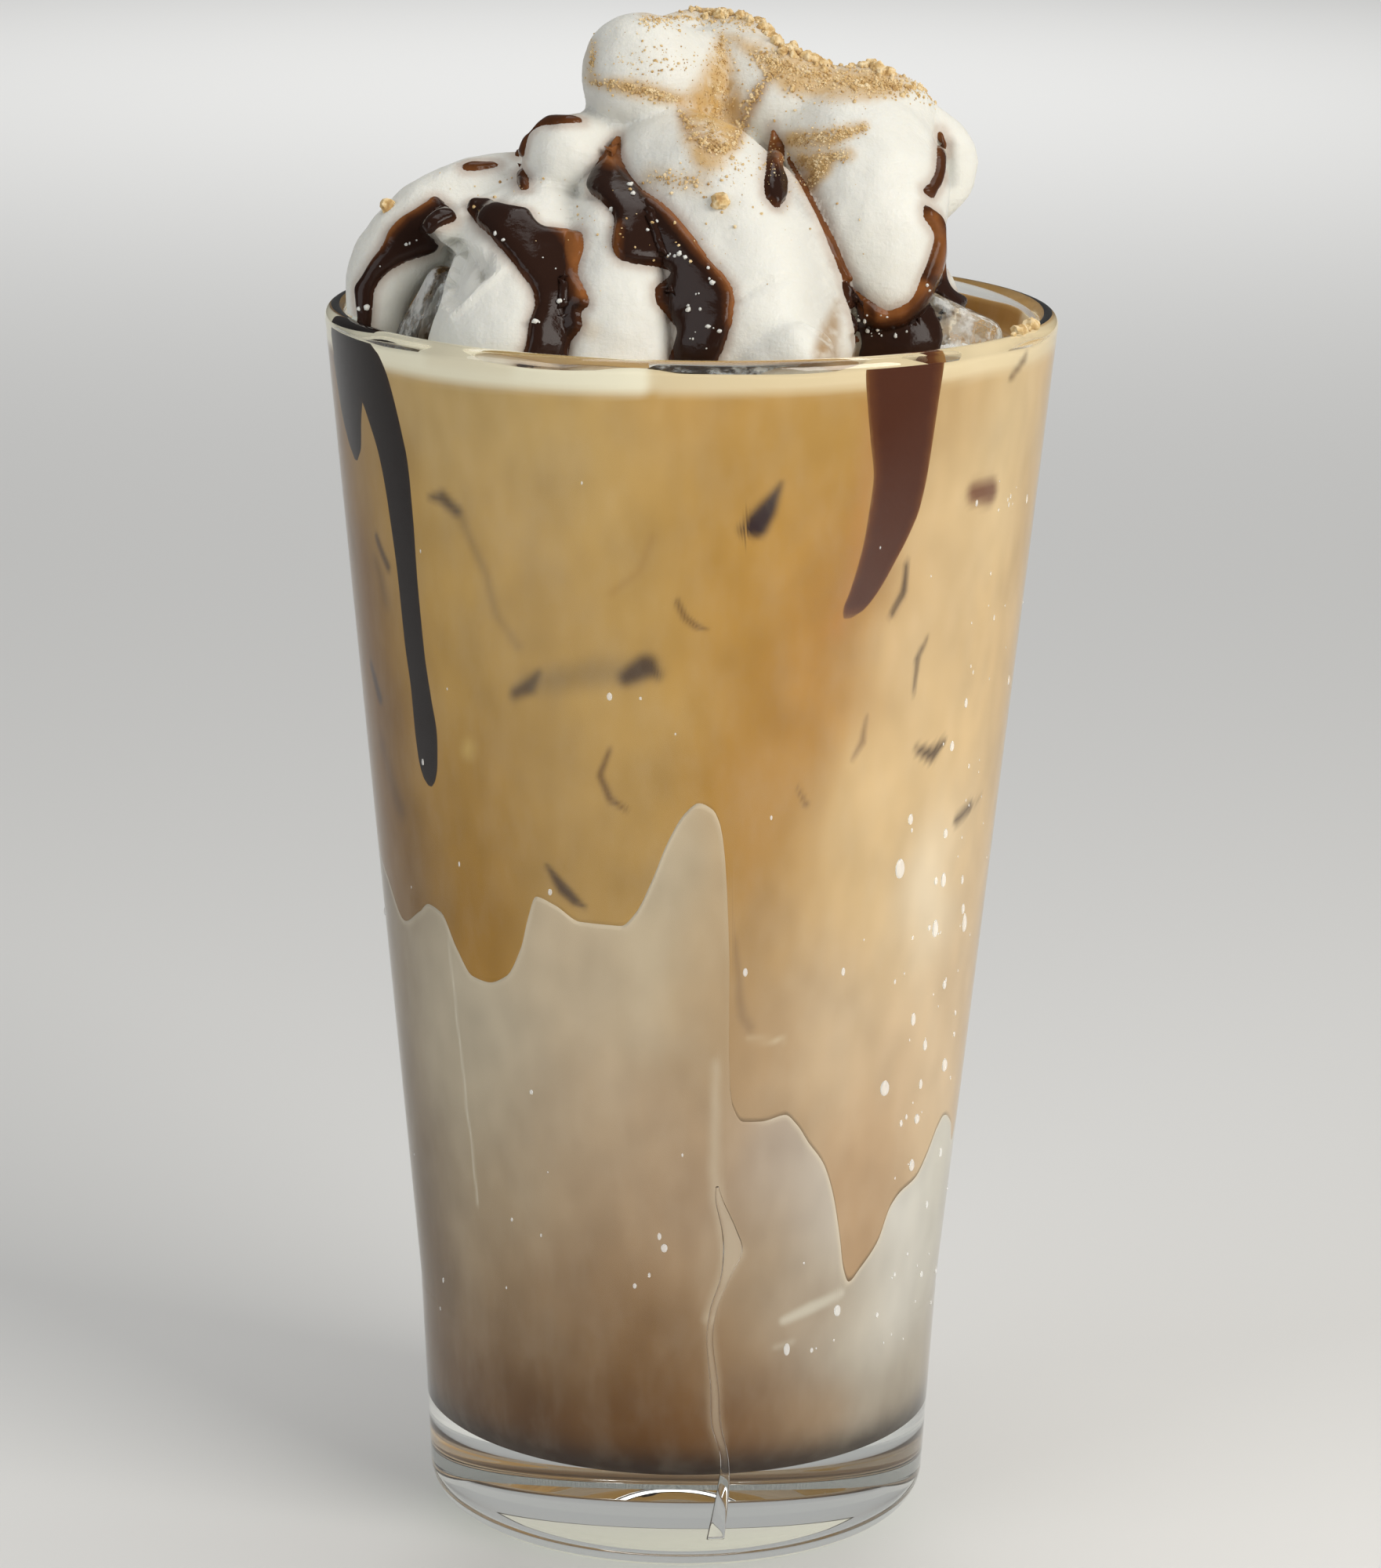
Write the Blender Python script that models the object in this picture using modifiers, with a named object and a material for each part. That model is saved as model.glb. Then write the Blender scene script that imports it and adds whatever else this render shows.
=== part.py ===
"""Iced coffee in a tapered pint glass, topped with whipped cream, chocolate sauce and biscuit crumbs.

Units are metres, +Z is up, and the origin is the middle of the glass's foot. The front faces -Y.
Run it with blender --background --python part.py, or from Blender's text editor.
"""

import math
import random

import bmesh
import bpy
import numpy as np
from mathutils import Euler, Matrix, Vector
from mathutils.bvhtree import BVHTree

MM = 0.001
WELD = 0.01 * MM
CLEARANCE = 0.3 * MM

# Glass: a 16 ounce tapered tumbler with a thick foot
GLASS_HEIGHT = 152 * MM
RIM_RADIUS = 44.5 * MM
RIM_WALL = 2.6 * MM
KNEE_HEIGHT = 28.5 * MM
KNEE_RADIUS = 32.5 * MM
FOOT_RADIUS = 31.2 * MM
FOOT_CORNER = 5 * MM
PUNT_RADIUS = 21 * MM
PUNT_DEPTH = 1.2 * MM
FLOOR_HEIGHT = 11.5 * MM
FLOOR_RADIUS = 27.4 * MM
FLOOR_CORNER = 6 * MM
GLASS_SEGMENTS = 60

# Drink: coffee poured over milk, which it sinks into in fingers
DRINK_LEVEL = 147 * MM
DRINK_SEGMENTS = 80
SHORE_RINGS = 5
SHORE_MEAN = 72 * MM
# Where coffee meets milk round the wall: degrees from the front towards the right, and height in mm
SHORE = (
    (-180, 78), (-164, 64), (-150, 84), (-138, 70), (-122, 88), (-104, 72), (-92, 85), (-70, 77.7),
    (-58, 81.5), (-43, 73.7), (-29.5, 85.8), (-15.5, 83), (2.5, 98.8), (6, 96), (11, 60.5), (15, 58.3),
    (22, 59.2), (42, 35.6), (55, 45.4), (62, 46.7), (73, 53), (84, 48), (100, 66), (116, 52), (134, 80),
    (158, 60),
)

# Ice cubes that stand out of the drink: middle in mm, edge in mm, and tilt in degrees
ICE = {
    "ice_left": ((-25.5, -16.0, 147.5), 16.0, (22, 20, 33)),
    "ice_front": ((3.0, -27.0, 142.5), 17.0, (12, -9, 9)),
    "ice_right": ((27.5, -8.5, 146.0), 17.0, (-20, 22, -17)),
    "ice_back": ((-15.0, 22.0, 145.0), 18.0, (20, -17, 35)),
}
ICE_ROUNDING = 2.2 * MM

# Cream lobes, each piped along a path of points: x, y, z and radius in mm
CREAM_LOBES = (
    # the heart of the heap, under everything else
    ((0, 4, 150, 24), (1, 4, 160, 17.5), (2, 3, 170, 10)),
    # the arch at the left, which springs from the rim
    ((-37.6, -12, 150.5, 3.6), (-37, -11, 156, 4.4), (-33, -9, 161, 5.6), (-26.5, -6, 163, 7), (-17, -2, 162, 9)),
    # petals of the curled end inside the arch
    ((-19, -9, 163.5, 5.5), (-25.5, -15, 162.5, 3.6), (-30.5, -20.5, 164, 0.9)),
    ((-18, -10, 159, 6.5), (-23, -16, 160, 4), (-26.5, -19.5, 163.2, 0.9)),
    ((-20, -12, 154, 8), (-24.5, -17, 155.5, 5), (-26.5, -20, 158.5, 1.6)),
    # the front lobes, from left to right
    ((-16, -8, 165.5, 4), (-18, -14.5, 161.5, 7), (-20.3, -20.5, 156, 8.8), (-20.8, -22.5, 150, 10.3)),
    ((-9.5, -14, 166.5, 4), (-9, -20.5, 161, 6.2), (-8.6, -25.5, 154, 7), (-8.6, -26.5, 149, 7.4)),
    ((-4.5, -8, 169.5, 6.5), (0.2, -12.5, 167.2, 9.6), (4.6, -17.5, 160, 11.6), (7, -21.5, 151, 12.3)),
    # the small tongue at the foot of the third
    ((9, -31, 149.5, 4.4), (12.6, -33, 151.2, 4)),
    # the right lobe, the base under it and the curl behind it
    ((16.5, -3, 173, 7.6), (20.3, -8, 169.5, 9.4), (21.3, -12.5, 163.5, 9.2), (22.2, -16, 158, 5.6)),
    ((15, -6, 152, 11), (24, -11, 149, 7.5)),
    ((26, -1, 175, 3.4), (30, 0, 171.5, 3.6), (30.4, 0, 168, 3.4), (27.4, -1, 164.5, 3.2)),
    # the second layer's cut end, the top ball and the ridge that falls away from it
    ((-9, -3, 170, 6), (-14.4, -9, 170.6, 5.6), (-15.4, -10.4, 170.6, 5.2)),
    ((1, 5, 176, 8), (-6, -5, 180.2, 7.7)),
    ((3, 5, 178.5, 7.2), (9.8, -1, 176.8, 6.8), (16, -2, 174.4, 7.2), (21, -3, 173.4, 7.8)),
    ((-2, 8, 181.2, 5.6), (1.4, 8.5, 181.8, 5.2), (6.4, 5.5, 181.8, 4.6)),
    ((18.8, -2.5, 177.2, 4), (20.4, -2.5, 178.2, 3.6), (22.9, -2.5, 174.8, 6)),
)
# The lobes round the back follow a rule: each leans in from the rim to the top
BACK_LOBES = 6
BACK_FROM, BACK_TO = 84, 278
BACK_STEPS = ((22.5, 151, 10.5), (17, 161, 9), (9.5, 170, 8))
BACK_UNEVEN = 1.4
BEAD_SPACING = 1.5
CREAM_VOXEL = 1.1 * MM
CREAM_SMOOTHING = 4
CREAM_FACES = 7800

# The eye from which toppings are laid on, at any side: distance and height
EYE_DISTANCE = 673.5 * MM
EYE_HEIGHT = 251 * MM

# Chocolate sauce: the side it is laid on from, in degrees, then stations of across, height and half width in mm
SAUCE_THICKNESS = 1.2 * MM
SAUCE_SUNK = 1.2 * MM
SAUCE_SAG = 1.8 * MM
SAUCE_STEP = 5 * MM
SAUCE_SPACING = 2.0
SAUCE_ACROSS = 6
SAUCE_RUNS = (
    (0, (-29.3, 163.8, 1.6), (-33.6, 161, 3.1), (-37.4, 156.2, 2.4), (-39.3, 150.4, 1.4)),
    (0, (-26, 163.5, 1.4), (-20.3, 161.2, 3.4), (-16, 157.5, 3.8), (-15.3, 151.7, 3.4), (-16.9, 145.9, 3.4)),
    (0, (-9.5, 171.3, 1), (-9.9, 167.1, 2.9), (-7, 162.4, 3.8), (-1.3, 158.6, 4.2), (1.5, 146.2, 3.2)),
    (0, (9.7, 173.2, 0.7), (9.9, 168.8, 1.4), (10, 165.2, 1.6)),
    (0, (28.5, 164.3, 1), (30.1, 159, 1.2), (29.2, 155.2, 1.9), (26.4, 152.3, 4), (26.5, 148.5, 5.5)),
    (75, (6, 173, 1), (3, 164, 2.4), (6, 155, 2.8), (5, 147, 2.2)),
    (125, (8, 170, 1.2), (3, 162, 2.9), (5, 154, 3.4), (3, 147, 2.6)),
    (180, (-12, 169, 1.2), (-9, 162, 3), (-11, 154, 3.4), (-9, 147, 2.6)),
    (180, (10, 172, 1), (13, 165, 2.2), (12, 156, 3.2), (14, 148, 2.6)),
    (240, (-2, 170, 1.2), (1, 162, 2.9), (-1, 154, 3), (1, 147, 2.2)),
)

# Biscuit crumbs: side, then across and height in mm, spread across and up in mm, and how many
CRUMB_SEED = 7
CRUMB_SIZES = (0.7, 1.3)
CRUMB_SUNK = 0.35
CRUMB_PATCHES = (
    (0, 2.7, 177.2, 2.2, 5.5, 15),
    (0, 16.0, 179.3, 9.0, 1.0, 13),
    (0, 16.5, 169.9, 3.4, 1.6, 7),
    (0, -8.0, 177.6, 4.5, 0.9, 5),
    (0, -4.7, 168.3, 3.4, 1.6, 3),
    (0, 3.2, 164.6, 0.0, 0.0, 1),
    (0, -36.9, 163.4, 0.0, 0.0, 1),
    (110, 0.0, 177.0, 5.0, 3.0, 6),
    (180, 3.0, 178.0, 7.0, 3.0, 8),
    (250, 1.0, 177.0, 5.0, 3.0, 6),
)

COLOURS = {
    "clear_glass": ((0.86, 0.90, 0.87, 1), 0.03),
    "coffee": ((0.44, 0.27, 0.10, 1), 0.35),
    "milk": ((0.48, 0.38, 0.28, 1), 0.35),
    "cream": ((0.88, 0.87, 0.82, 1), 0.5),
    "ice": ((0.80, 0.84, 0.84, 1), 0.06),
}


def finish(name):
    """The material of one finish, made once."""
    material = bpy.data.materials.get(name) or bpy.data.materials.new(name)
    material.use_nodes = True
    shader = material.node_tree.nodes["Principled BSDF"]
    colour, roughness = COLOURS[name]
    shader.inputs["Base Color"].default_value = colour
    shader.inputs["Roughness"].default_value = roughness
    shader.inputs["Metallic"].default_value = 0
    return material


def collection(name):
    made = bpy.data.collections.new(name)
    bpy.context.scene.collection.children.link(made)
    return made


def object_from(bm, name, home, material=None):
    """Turns a bmesh into a named object in a collection."""
    mesh = bpy.data.meshes.new(name)
    bm.to_mesh(mesh)
    bm.free()
    made = bpy.data.objects.new(name, mesh)
    if material:
        mesh.materials.append(finish(material))
    home.objects.link(made)
    return made


def as_evaluated(made):
    """Replaces an object's mesh by what its modifiers make of it, in place."""
    bpy.context.view_layer.update()
    graph = bpy.context.evaluated_depsgraph_get()
    mesh = bpy.data.meshes.new_from_object(made.evaluated_get(graph))
    made.modifiers.clear()
    made.data = mesh
    return made


def hide_cutter(made):
    made.hide_render = True
    made.display_type = "WIRE"
    return made


def cut(made, cutter, operation, solver="EXACT"):
    modifier = made.modifiers.new(cutter.name, "BOOLEAN")
    modifier.operation = operation
    modifier.object = cutter
    modifier.solver = solver


def arc(centre, radius, start, end, steps):
    """Points of an arc in the x-z plane, with angles in degrees from +X towards +Z."""
    turns = [math.radians(start + (end - start) * i / steps) for i in range(steps + 1)]
    return [(centre[0] + radius * math.cos(t), centre[1] + radius * math.sin(t)) for t in turns]


def turned(name, profile, segments, home, material=None):
    """A solid turned round Z from a profile that runs down its outer side."""
    bm = bmesh.new()
    ring = [bm.verts.new((r, 0, z)) for r, z in profile]
    for a, b in zip(ring, ring[1:]):
        bm.edges.new((a, b))
    made = object_from(bm, name, home, material)
    screw = made.modifiers.new("turn", "SCREW")
    screw.steps = screw.render_steps = segments
    screw.use_merge_vertices = True
    screw.merge_threshold = WELD
    return made


def outer_radius(z):
    """The glass's outer radius at a height."""
    if z < KNEE_HEIGHT:
        return FOOT_RADIUS + (KNEE_RADIUS - FOOT_RADIUS) * z / KNEE_HEIGHT
    share = (z - KNEE_HEIGHT) / (GLASS_HEIGHT - KNEE_HEIGHT)
    return KNEE_RADIUS + (RIM_RADIUS - KNEE_RADIUS) * share


def inner_radius(z):
    """The glass's inner radius at a height, above the rounded corner of its floor."""
    low, high = FLOOR_HEIGHT + FLOOR_CORNER, GLASS_HEIGHT - RIM_WALL / 2
    return FLOOR_RADIUS + (RIM_RADIUS - RIM_WALL - FLOOR_RADIUS) * (z - low) / (high - low)


def make_glass(home):
    lip = RIM_WALL / 2
    corner_start = FLOOR_RADIUS - FLOOR_CORNER
    profile = [(0, FLOOR_HEIGHT)]
    profile += arc((corner_start, FLOOR_HEIGHT + FLOOR_CORNER), FLOOR_CORNER, -90, 0, 4)
    profile += arc((RIM_RADIUS - lip, GLASS_HEIGHT - lip), lip, 180, 0, 6)
    profile += [(outer_radius(KNEE_HEIGHT), KNEE_HEIGHT)]
    profile += arc((FOOT_RADIUS - FOOT_CORNER, FOOT_CORNER), FOOT_CORNER, -4, -90, 4)
    profile += [(PUNT_RADIUS, 0), (PUNT_RADIUS - 3 * PUNT_DEPTH, PUNT_DEPTH), (0, PUNT_DEPTH)]
    return turned("glass", profile, GLASS_SEGMENTS, home, "clear_glass")


def shore_height(azimuth):
    """Height of the line where coffee meets milk on the wall, at an azimuth in degrees."""
    azimuth = (azimuth + 180) % 360 - 180
    line = SHORE + ((SHORE[0][0] + 360, SHORE[0][1]),)
    for (a, low), (b, high) in zip(line, line[1:]):
        if a <= azimuth <= b:
            share = 0.5 - 0.5 * math.cos(math.pi * (azimuth - a) / (b - a))
            return (low + (high - low) * share) * MM
    return SHORE_MEAN


def shore_point(azimuth, share):
    """A point between coffee and milk, at an azimuth and a share of the way from the axis to the wall."""
    z = SHORE_MEAN + (shore_height(azimuth) - SHORE_MEAN) * share**1.5
    out = share * (inner_radius(z) - CLEARANCE)
    turn = math.radians(azimuth)
    return Vector((out * math.sin(turn), -out * math.cos(turn), z))


def fit_shore(made, unit_height, side):
    """Spreads a unit disc's vertices over the shore, half the clearance above or below it."""
    for v in made.data.vertices:
        if abs(v.co.z - unit_height) > WELD:
            continue
        azimuth = math.degrees(math.atan2(v.co.x, -v.co.y))
        share = min(1, math.hypot(v.co.x, v.co.y))
        spot = shore_point(azimuth, share)
        along = shore_point(azimuth + 1, max(share, 0.1)) - shore_point(azimuth - 1, max(share, 0.1))
        across = along.cross(Vector((v.co.x, v.co.y, 0)))
        away = across.normalized() if share > 0.1 else Vector((0, 0, 1))
        if away.z < 0:
            away.negate()
        v.co = spot + away * side * CLEARANCE / 2
    bm = bmesh.new()
    bm.from_mesh(made.data)
    bmesh.ops.triangulate(bm, faces=bm.faces, quad_method="SHORT_EDGE")
    bm.to_mesh(made.data)
    bm.free()


def make_milk(home):
    """Milk lies on the floor and fills the glass up to the shore."""
    top = 1.0
    steps = [(i / SHORE_RINGS, top) for i in range(SHORE_RINGS + 1)]
    floor = FLOOR_HEIGHT + CLEARANCE
    corner = FLOOR_CORNER
    middle = (FLOOR_RADIUS - CLEARANCE - corner, floor + corner)
    profile = steps + arc(middle, corner, 0, -90, 4) + [(0, floor)]
    milk = turned("milk_layer", profile, DRINK_SEGMENTS, home, "milk")
    fit_shore(as_evaluated(milk), top, -1)


def make_coffee(home):
    """Coffee fills the glass from the shore to the drink's level."""
    bottom = -1.0
    radius = inner_radius(DRINK_LEVEL) - CLEARANCE
    profile = [(0, DRINK_LEVEL), (radius, DRINK_LEVEL)]
    profile += [(1 - i / SHORE_RINGS, bottom) for i in range(SHORE_RINGS + 1)]
    coffee = turned("coffee_layer", profile, DRINK_SEGMENTS, home, "coffee")
    fit_shore(as_evaluated(coffee), bottom, 1)
    return coffee


def ice_block(name, home, grow=0.0):
    """A cube of ice with melted edges, or its slightly larger twin for cutting."""
    middle, edge, tilt = ICE[name]
    bm = bmesh.new()
    bmesh.ops.create_cube(bm, size=edge * MM + 2 * grow)
    turn = Euler([math.radians(a) for a in tilt]).to_matrix().to_4x4()
    place = Matrix.Translation(Vector(middle) * MM) @ turn
    bmesh.ops.transform(bm, matrix=place, verts=bm.verts)
    made = object_from(bm, name, home, "ice")
    bevel = made.modifiers.new("melted edges", "BEVEL")
    bevel.width = ICE_ROUNDING + grow / 2
    bevel.segments = 2
    return made


def smooth_path(points, spacing):
    """Stations along a smooth curve through points, about a spacing apart. Every column is carried along."""
    ends = [points[0], *points, points[-1]]
    made = []
    for p0, p1, p2, p3 in zip(ends, ends[1:], ends[2:], ends[3:]):
        steps = max(1, round(math.dist(p1[:3], p2[:3]) / spacing))
        for i in range(steps):
            t = i / steps
            made.append([
                0.5 * (2 * b + (c - a) * t + (2 * a - 5 * b + 4 * c - d) * t**2 + (3 * b - a - 3 * c + d) * t**3)
                for a, b, c, d in zip(p0, p1, p2, p3)
            ])
    made.append(list(points[-1]))
    return made


def back_lobes():
    """The lobes behind, evenly spaced but for a little unevenness."""
    draw = random.Random(CRUMB_SEED)
    for i in range(BACK_LOBES):
        azimuth = BACK_FROM + (BACK_TO - BACK_FROM) * i / (BACK_LOBES - 1)
        lean = math.radians(azimuth)
        drift = math.radians(draw.uniform(8, 16))
        yield [
            (
                out * math.sin(lean + drift * step),
                -out * math.cos(lean + drift * step),
                z + draw.uniform(-0.5, 0.5) * BACK_UNEVEN,
                size + draw.uniform(-0.5, 0.5) * BACK_UNEVEN,
            )
            for step, (out, z, size) in enumerate(BACK_STEPS)
        ]


def piped_cream(home):
    """Lobes of cream, each a row of beads run together into one soft skin."""
    ball = bmesh.new()
    bmesh.ops.create_icosphere(ball, subdivisions=3, radius=MM)
    corners = np.array([v.co for v in ball.verts])
    faces = np.array([[v.index for v in face.verts] for face in ball.faces])
    ball.free()
    row = [bead for lobe in [*CREAM_LOBES, *back_lobes()] for bead in smooth_path(lobe, BEAD_SPACING)]
    places = np.array(row)
    points = corners * places[:, None, 3:] + places[:, None, :3] * MM
    skins = faces + len(corners) * np.arange(len(places))[:, None, None]
    mesh = bpy.data.meshes.new("beads")
    mesh.from_pydata(points.reshape(-1, 3).tolist(), [], skins.reshape(-1, 3).tolist())
    cream = bpy.data.objects.new("whipped_cream", mesh)
    home.objects.link(cream)
    mesh.materials.append(finish("cream"))
    remesh = cream.modifiers.new("one skin", "REMESH")
    remesh.mode = "VOXEL"
    remesh.voxel_size = CREAM_VOXEL
    smooth = cream.modifiers.new("soft", "SMOOTH")
    smooth.factor = 0.5
    smooth.iterations = CREAM_SMOOTHING
    return as_evaluated(cream)


def cream_room(home):
    """The room the cream may take: the top of the glass, then open air over the rim."""
    base = DRINK_LEVEL + CLEARANCE
    over_rim = GLASS_HEIGHT + CLEARANCE
    wide = 2 * RIM_RADIUS
    tall = 2 * GLASS_HEIGHT
    profile = [
        (0, tall),
        (wide, tall),
        (wide, over_rim),
        (inner_radius(over_rim) - CLEARANCE, over_rim),
        (inner_radius(base) - CLEARANCE, base),
        (0, base),
    ]
    return hide_cutter(turned("cream_room", profile, GLASS_SEGMENTS, home))


def skin_of(made):
    bm = bmesh.new()
    bm.from_mesh(made.data)
    tree = BVHTree.FromBMesh(bm)
    bm.free()
    return tree


def aimed(side, across, height):
    """The eye on a side, and the way from it to a spot across the axis and up."""
    turn = Matrix.Rotation(math.radians(side), 3, "Z")
    eye = turn @ Vector((0, -EYE_DISTANCE, EYE_HEIGHT))
    return eye, (turn @ Vector((across * MM, 0, height * MM)) - eye).normalized()


def sauce_run(skin, name, home, side, stations):
    """Thick sauce with a rounded back, draped over the cream from one side. It breaks off where the cream steps."""
    path = smooth_path([(across, height, 0, half) for across, height, half in stations], SAUCE_SPACING)
    bm = bmesh.new()
    runs, last = [[]], None
    for index, (across, height, _, half) in enumerate(path):
        eye, ahead = aimed(side, across, height)
        middle, _, _, depth = skin.ray_cast(eye, ahead)
        if middle is None or last and (middle - last).length > SAUCE_STEP:
            runs.append([])
        last = middle
        if middle is None:
            continue
        after, before = path[min(index + 1, len(path) - 1)], path[max(index - 1, 0)]
        along = Vector((after[0] - before[0], after[1] - before[1])).normalized()
        taper = min(1, (index + 0.6) / 2, (len(path) - index - 0.4) / 2)
        top, bottom = [], []
        for i in range(SAUCE_ACROSS + 1):
            share = 2 * i / SAUCE_ACROSS - 1
            out = half * share * taper
            eye, way = aimed(side, across + along.y * out, height - along.x * out)
            _, normal, _, reach = skin.ray_cast(eye, way)
            if reach is None:
                normal, reach = -way, depth
            spot = eye + way * min(max(reach, depth - SAUCE_SAG), depth + SAUCE_SAG)
            facing = max(0, -normal.dot(way))
            top.append(spot + normal * SAUCE_THICKNESS * taper * (1 - share**4) * facing)
            bottom.append(spot + way * SAUCE_SUNK)
        runs[-1].append([bm.verts.new(p) for p in top + bottom[::-1]])
    for rings in runs:
        for first, second in zip(rings, rings[1:]):
            for i in range(len(first)):
                j = (i + 1) % len(first)
                bm.faces.new((first[i], first[j], second[j], second[i]))
        if len(rings) > 1:
            bm.faces.new(rings[0][::-1])
            bm.faces.new(rings[-1])
    bmesh.ops.delete(bm, geom=[v for v in bm.verts if not v.link_faces], context="VERTS")
    bmesh.ops.triangulate(bm, faces=bm.faces)
    bmesh.ops.recalc_face_normals(bm, faces=bm.faces)
    return object_from(bm, name, home)


def crumbs(skin, home):
    """Biscuit crumbs of uneven size, part sunk in the cream."""
    draw = random.Random(CRUMB_SEED)
    for side, across, height, wide, tall, count in CRUMB_PATCHES:
        for _ in range(count):
            eye, way = aimed(side, across + draw.uniform(-wide, wide), height + draw.uniform(-tall, tall))
            spot, normal, _, _ = skin.ray_cast(eye, way)
            size = draw.uniform(*CRUMB_SIZES) * MM
            turn = Euler([draw.uniform(0, math.tau) for _ in range(3)]).to_matrix().to_4x4()
            shape = Matrix.Diagonal((1, draw.uniform(0.7, 1), draw.uniform(0.6, 0.9), 1))
            if spot is None:
                continue
            bm = bmesh.new()
            place = Matrix.Translation(spot - normal * size * CRUMB_SUNK) @ turn @ shape
            bmesh.ops.create_icosphere(bm, subdivisions=1, radius=size, matrix=place)
            object_from(bm, "crumb", home)


def join_toppings(cream, toppings):
    """Fuses a collection of toppings to the cream, then removes what was joined."""
    fuse = cream.modifiers.new("toppings", "BOOLEAN")
    fuse.operation = "UNION"
    fuse.operand_type = "COLLECTION"
    fuse.collection = toppings
    fuse.solver = "MANIFOLD"
    as_evaluated(cream)
    for made in list(toppings.objects):
        bpy.data.objects.remove(made)
    bpy.data.collections.remove(toppings)


def keep_largest_piece(made):
    """Drops loose scraps that a cut leaves."""
    bm = bmesh.new()
    bm.from_mesh(made.data)
    left = set(bm.verts)
    pieces = []
    while left:
        group, edge = set(), [left.pop()]
        while edge:
            v = edge.pop()
            group.add(v)
            for e in v.link_edges:
                other = e.other_vert(v)
                if other in left:
                    left.discard(other)
                    edge.append(other)
        pieces.append(group)
    largest = max(pieces, key=len)
    scraps = [v for group in pieces if group is not largest for v in group]
    bmesh.ops.delete(bm, geom=scraps, context="VERTS")
    bmesh.ops.triangulate(bm, faces=bm.faces)
    bm.to_mesh(made.data)
    bm.free()


def make_cream(home, cutters, ice_cutters):
    cream = piped_cream(home)
    skin = skin_of(cream)
    toppings = collection("toppings")
    for index, (side, *stations) in enumerate(SAUCE_RUNS):
        sauce_run(skin, f"sauce_{index}", toppings, side, stations)
    crumbs(skin, toppings)
    join_toppings(cream, toppings)
    cut(cream, cream_room(cutters), "INTERSECT", "MANIFOLD")
    for cutter in ice_cutters:
        cut(cream, cutter, "DIFFERENCE", "MANIFOLD")
    as_evaluated(cream)
    keep_largest_piece(cream)
    thin = cream.modifiers.new("fewer faces", "DECIMATE")
    thin.ratio = CREAM_FACES / len(cream.data.polygons)
    thin.use_collapse_triangulate = True
    return cream


def main():
    for old in list(bpy.data.objects):
        bpy.data.objects.remove(old)
    drink = collection("iced_coffee")
    cutters = collection("cutters")
    make_glass(drink)
    make_milk(drink)
    coffee = make_coffee(drink)
    for name in ICE:
        ice_block(name, drink)
    ice_cutters = [hide_cutter(ice_block(name, cutters, CLEARANCE)) for name in ICE]
    for cutter in ice_cutters:
        cut(coffee, cutter, "DIFFERENCE")
    make_cream(drink, cutters, ice_cutters)


main()
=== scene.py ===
"""Iced coffee over milk in a pint glass, under whipped cream, chocolate sauce and biscuit crumbs.

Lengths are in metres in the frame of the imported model: +Z up, and the front towards -Y.
"""

import math
import random

import bmesh
import bpy
import numpy as np
from mathutils import Euler, Matrix, Vector, noise
from mathutils.bvhtree import BVHTree
from mathutils.kdtree import KDTree


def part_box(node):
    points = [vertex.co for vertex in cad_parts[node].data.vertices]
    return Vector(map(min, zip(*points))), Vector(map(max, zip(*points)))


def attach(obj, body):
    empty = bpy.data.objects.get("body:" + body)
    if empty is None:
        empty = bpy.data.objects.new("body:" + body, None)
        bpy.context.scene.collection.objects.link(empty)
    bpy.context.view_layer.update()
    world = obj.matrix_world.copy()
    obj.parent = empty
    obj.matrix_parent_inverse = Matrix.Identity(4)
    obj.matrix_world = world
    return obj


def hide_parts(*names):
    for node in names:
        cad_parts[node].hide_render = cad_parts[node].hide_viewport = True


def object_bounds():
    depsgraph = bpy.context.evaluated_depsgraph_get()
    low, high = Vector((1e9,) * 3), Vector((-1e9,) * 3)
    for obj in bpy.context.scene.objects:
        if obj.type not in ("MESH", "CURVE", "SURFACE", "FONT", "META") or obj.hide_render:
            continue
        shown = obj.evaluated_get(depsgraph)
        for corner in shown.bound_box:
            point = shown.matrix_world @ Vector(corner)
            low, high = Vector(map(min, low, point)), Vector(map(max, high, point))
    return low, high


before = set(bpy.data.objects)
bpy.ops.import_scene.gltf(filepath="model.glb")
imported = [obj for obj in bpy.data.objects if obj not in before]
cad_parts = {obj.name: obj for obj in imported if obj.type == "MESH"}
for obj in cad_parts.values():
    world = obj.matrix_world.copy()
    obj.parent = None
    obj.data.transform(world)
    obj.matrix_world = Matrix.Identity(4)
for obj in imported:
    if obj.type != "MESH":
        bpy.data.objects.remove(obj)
cad_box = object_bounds()


# The glass: a pressed pint tumbler of clear, faintly green glass, one solid with a heavy foot.
# Its wall tapers from a rounded lip down to the thick floor, and the foot is slightly hollow below.
MM = 0.001
GLASS_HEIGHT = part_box("glass")[1][2]
RIM_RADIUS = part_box("glass")[1][0]
RIM_WALL = 2.6 * MM
KNEE_HEIGHT = 28.5 * MM
KNEE_RADIUS = 32.5 * MM
KNEE_CORNER = 4 * MM
FOOT_RADIUS = 31.2 * MM
FOOT_CORNER = 5 * MM
PUNT_RADIUS = 21 * MM
PUNT_DEPTH = 1.2 * MM
FLOOR_HEIGHT = 11.5 * MM
FLOOR_RADIUS = 27.4 * MM
FLOOR_CORNER = 6 * MM
GLASS_TURNS = 200
GLASS_TINT = (0.955, 0.975, 0.955, 1)
GLASS_IOR = 1.5


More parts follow.
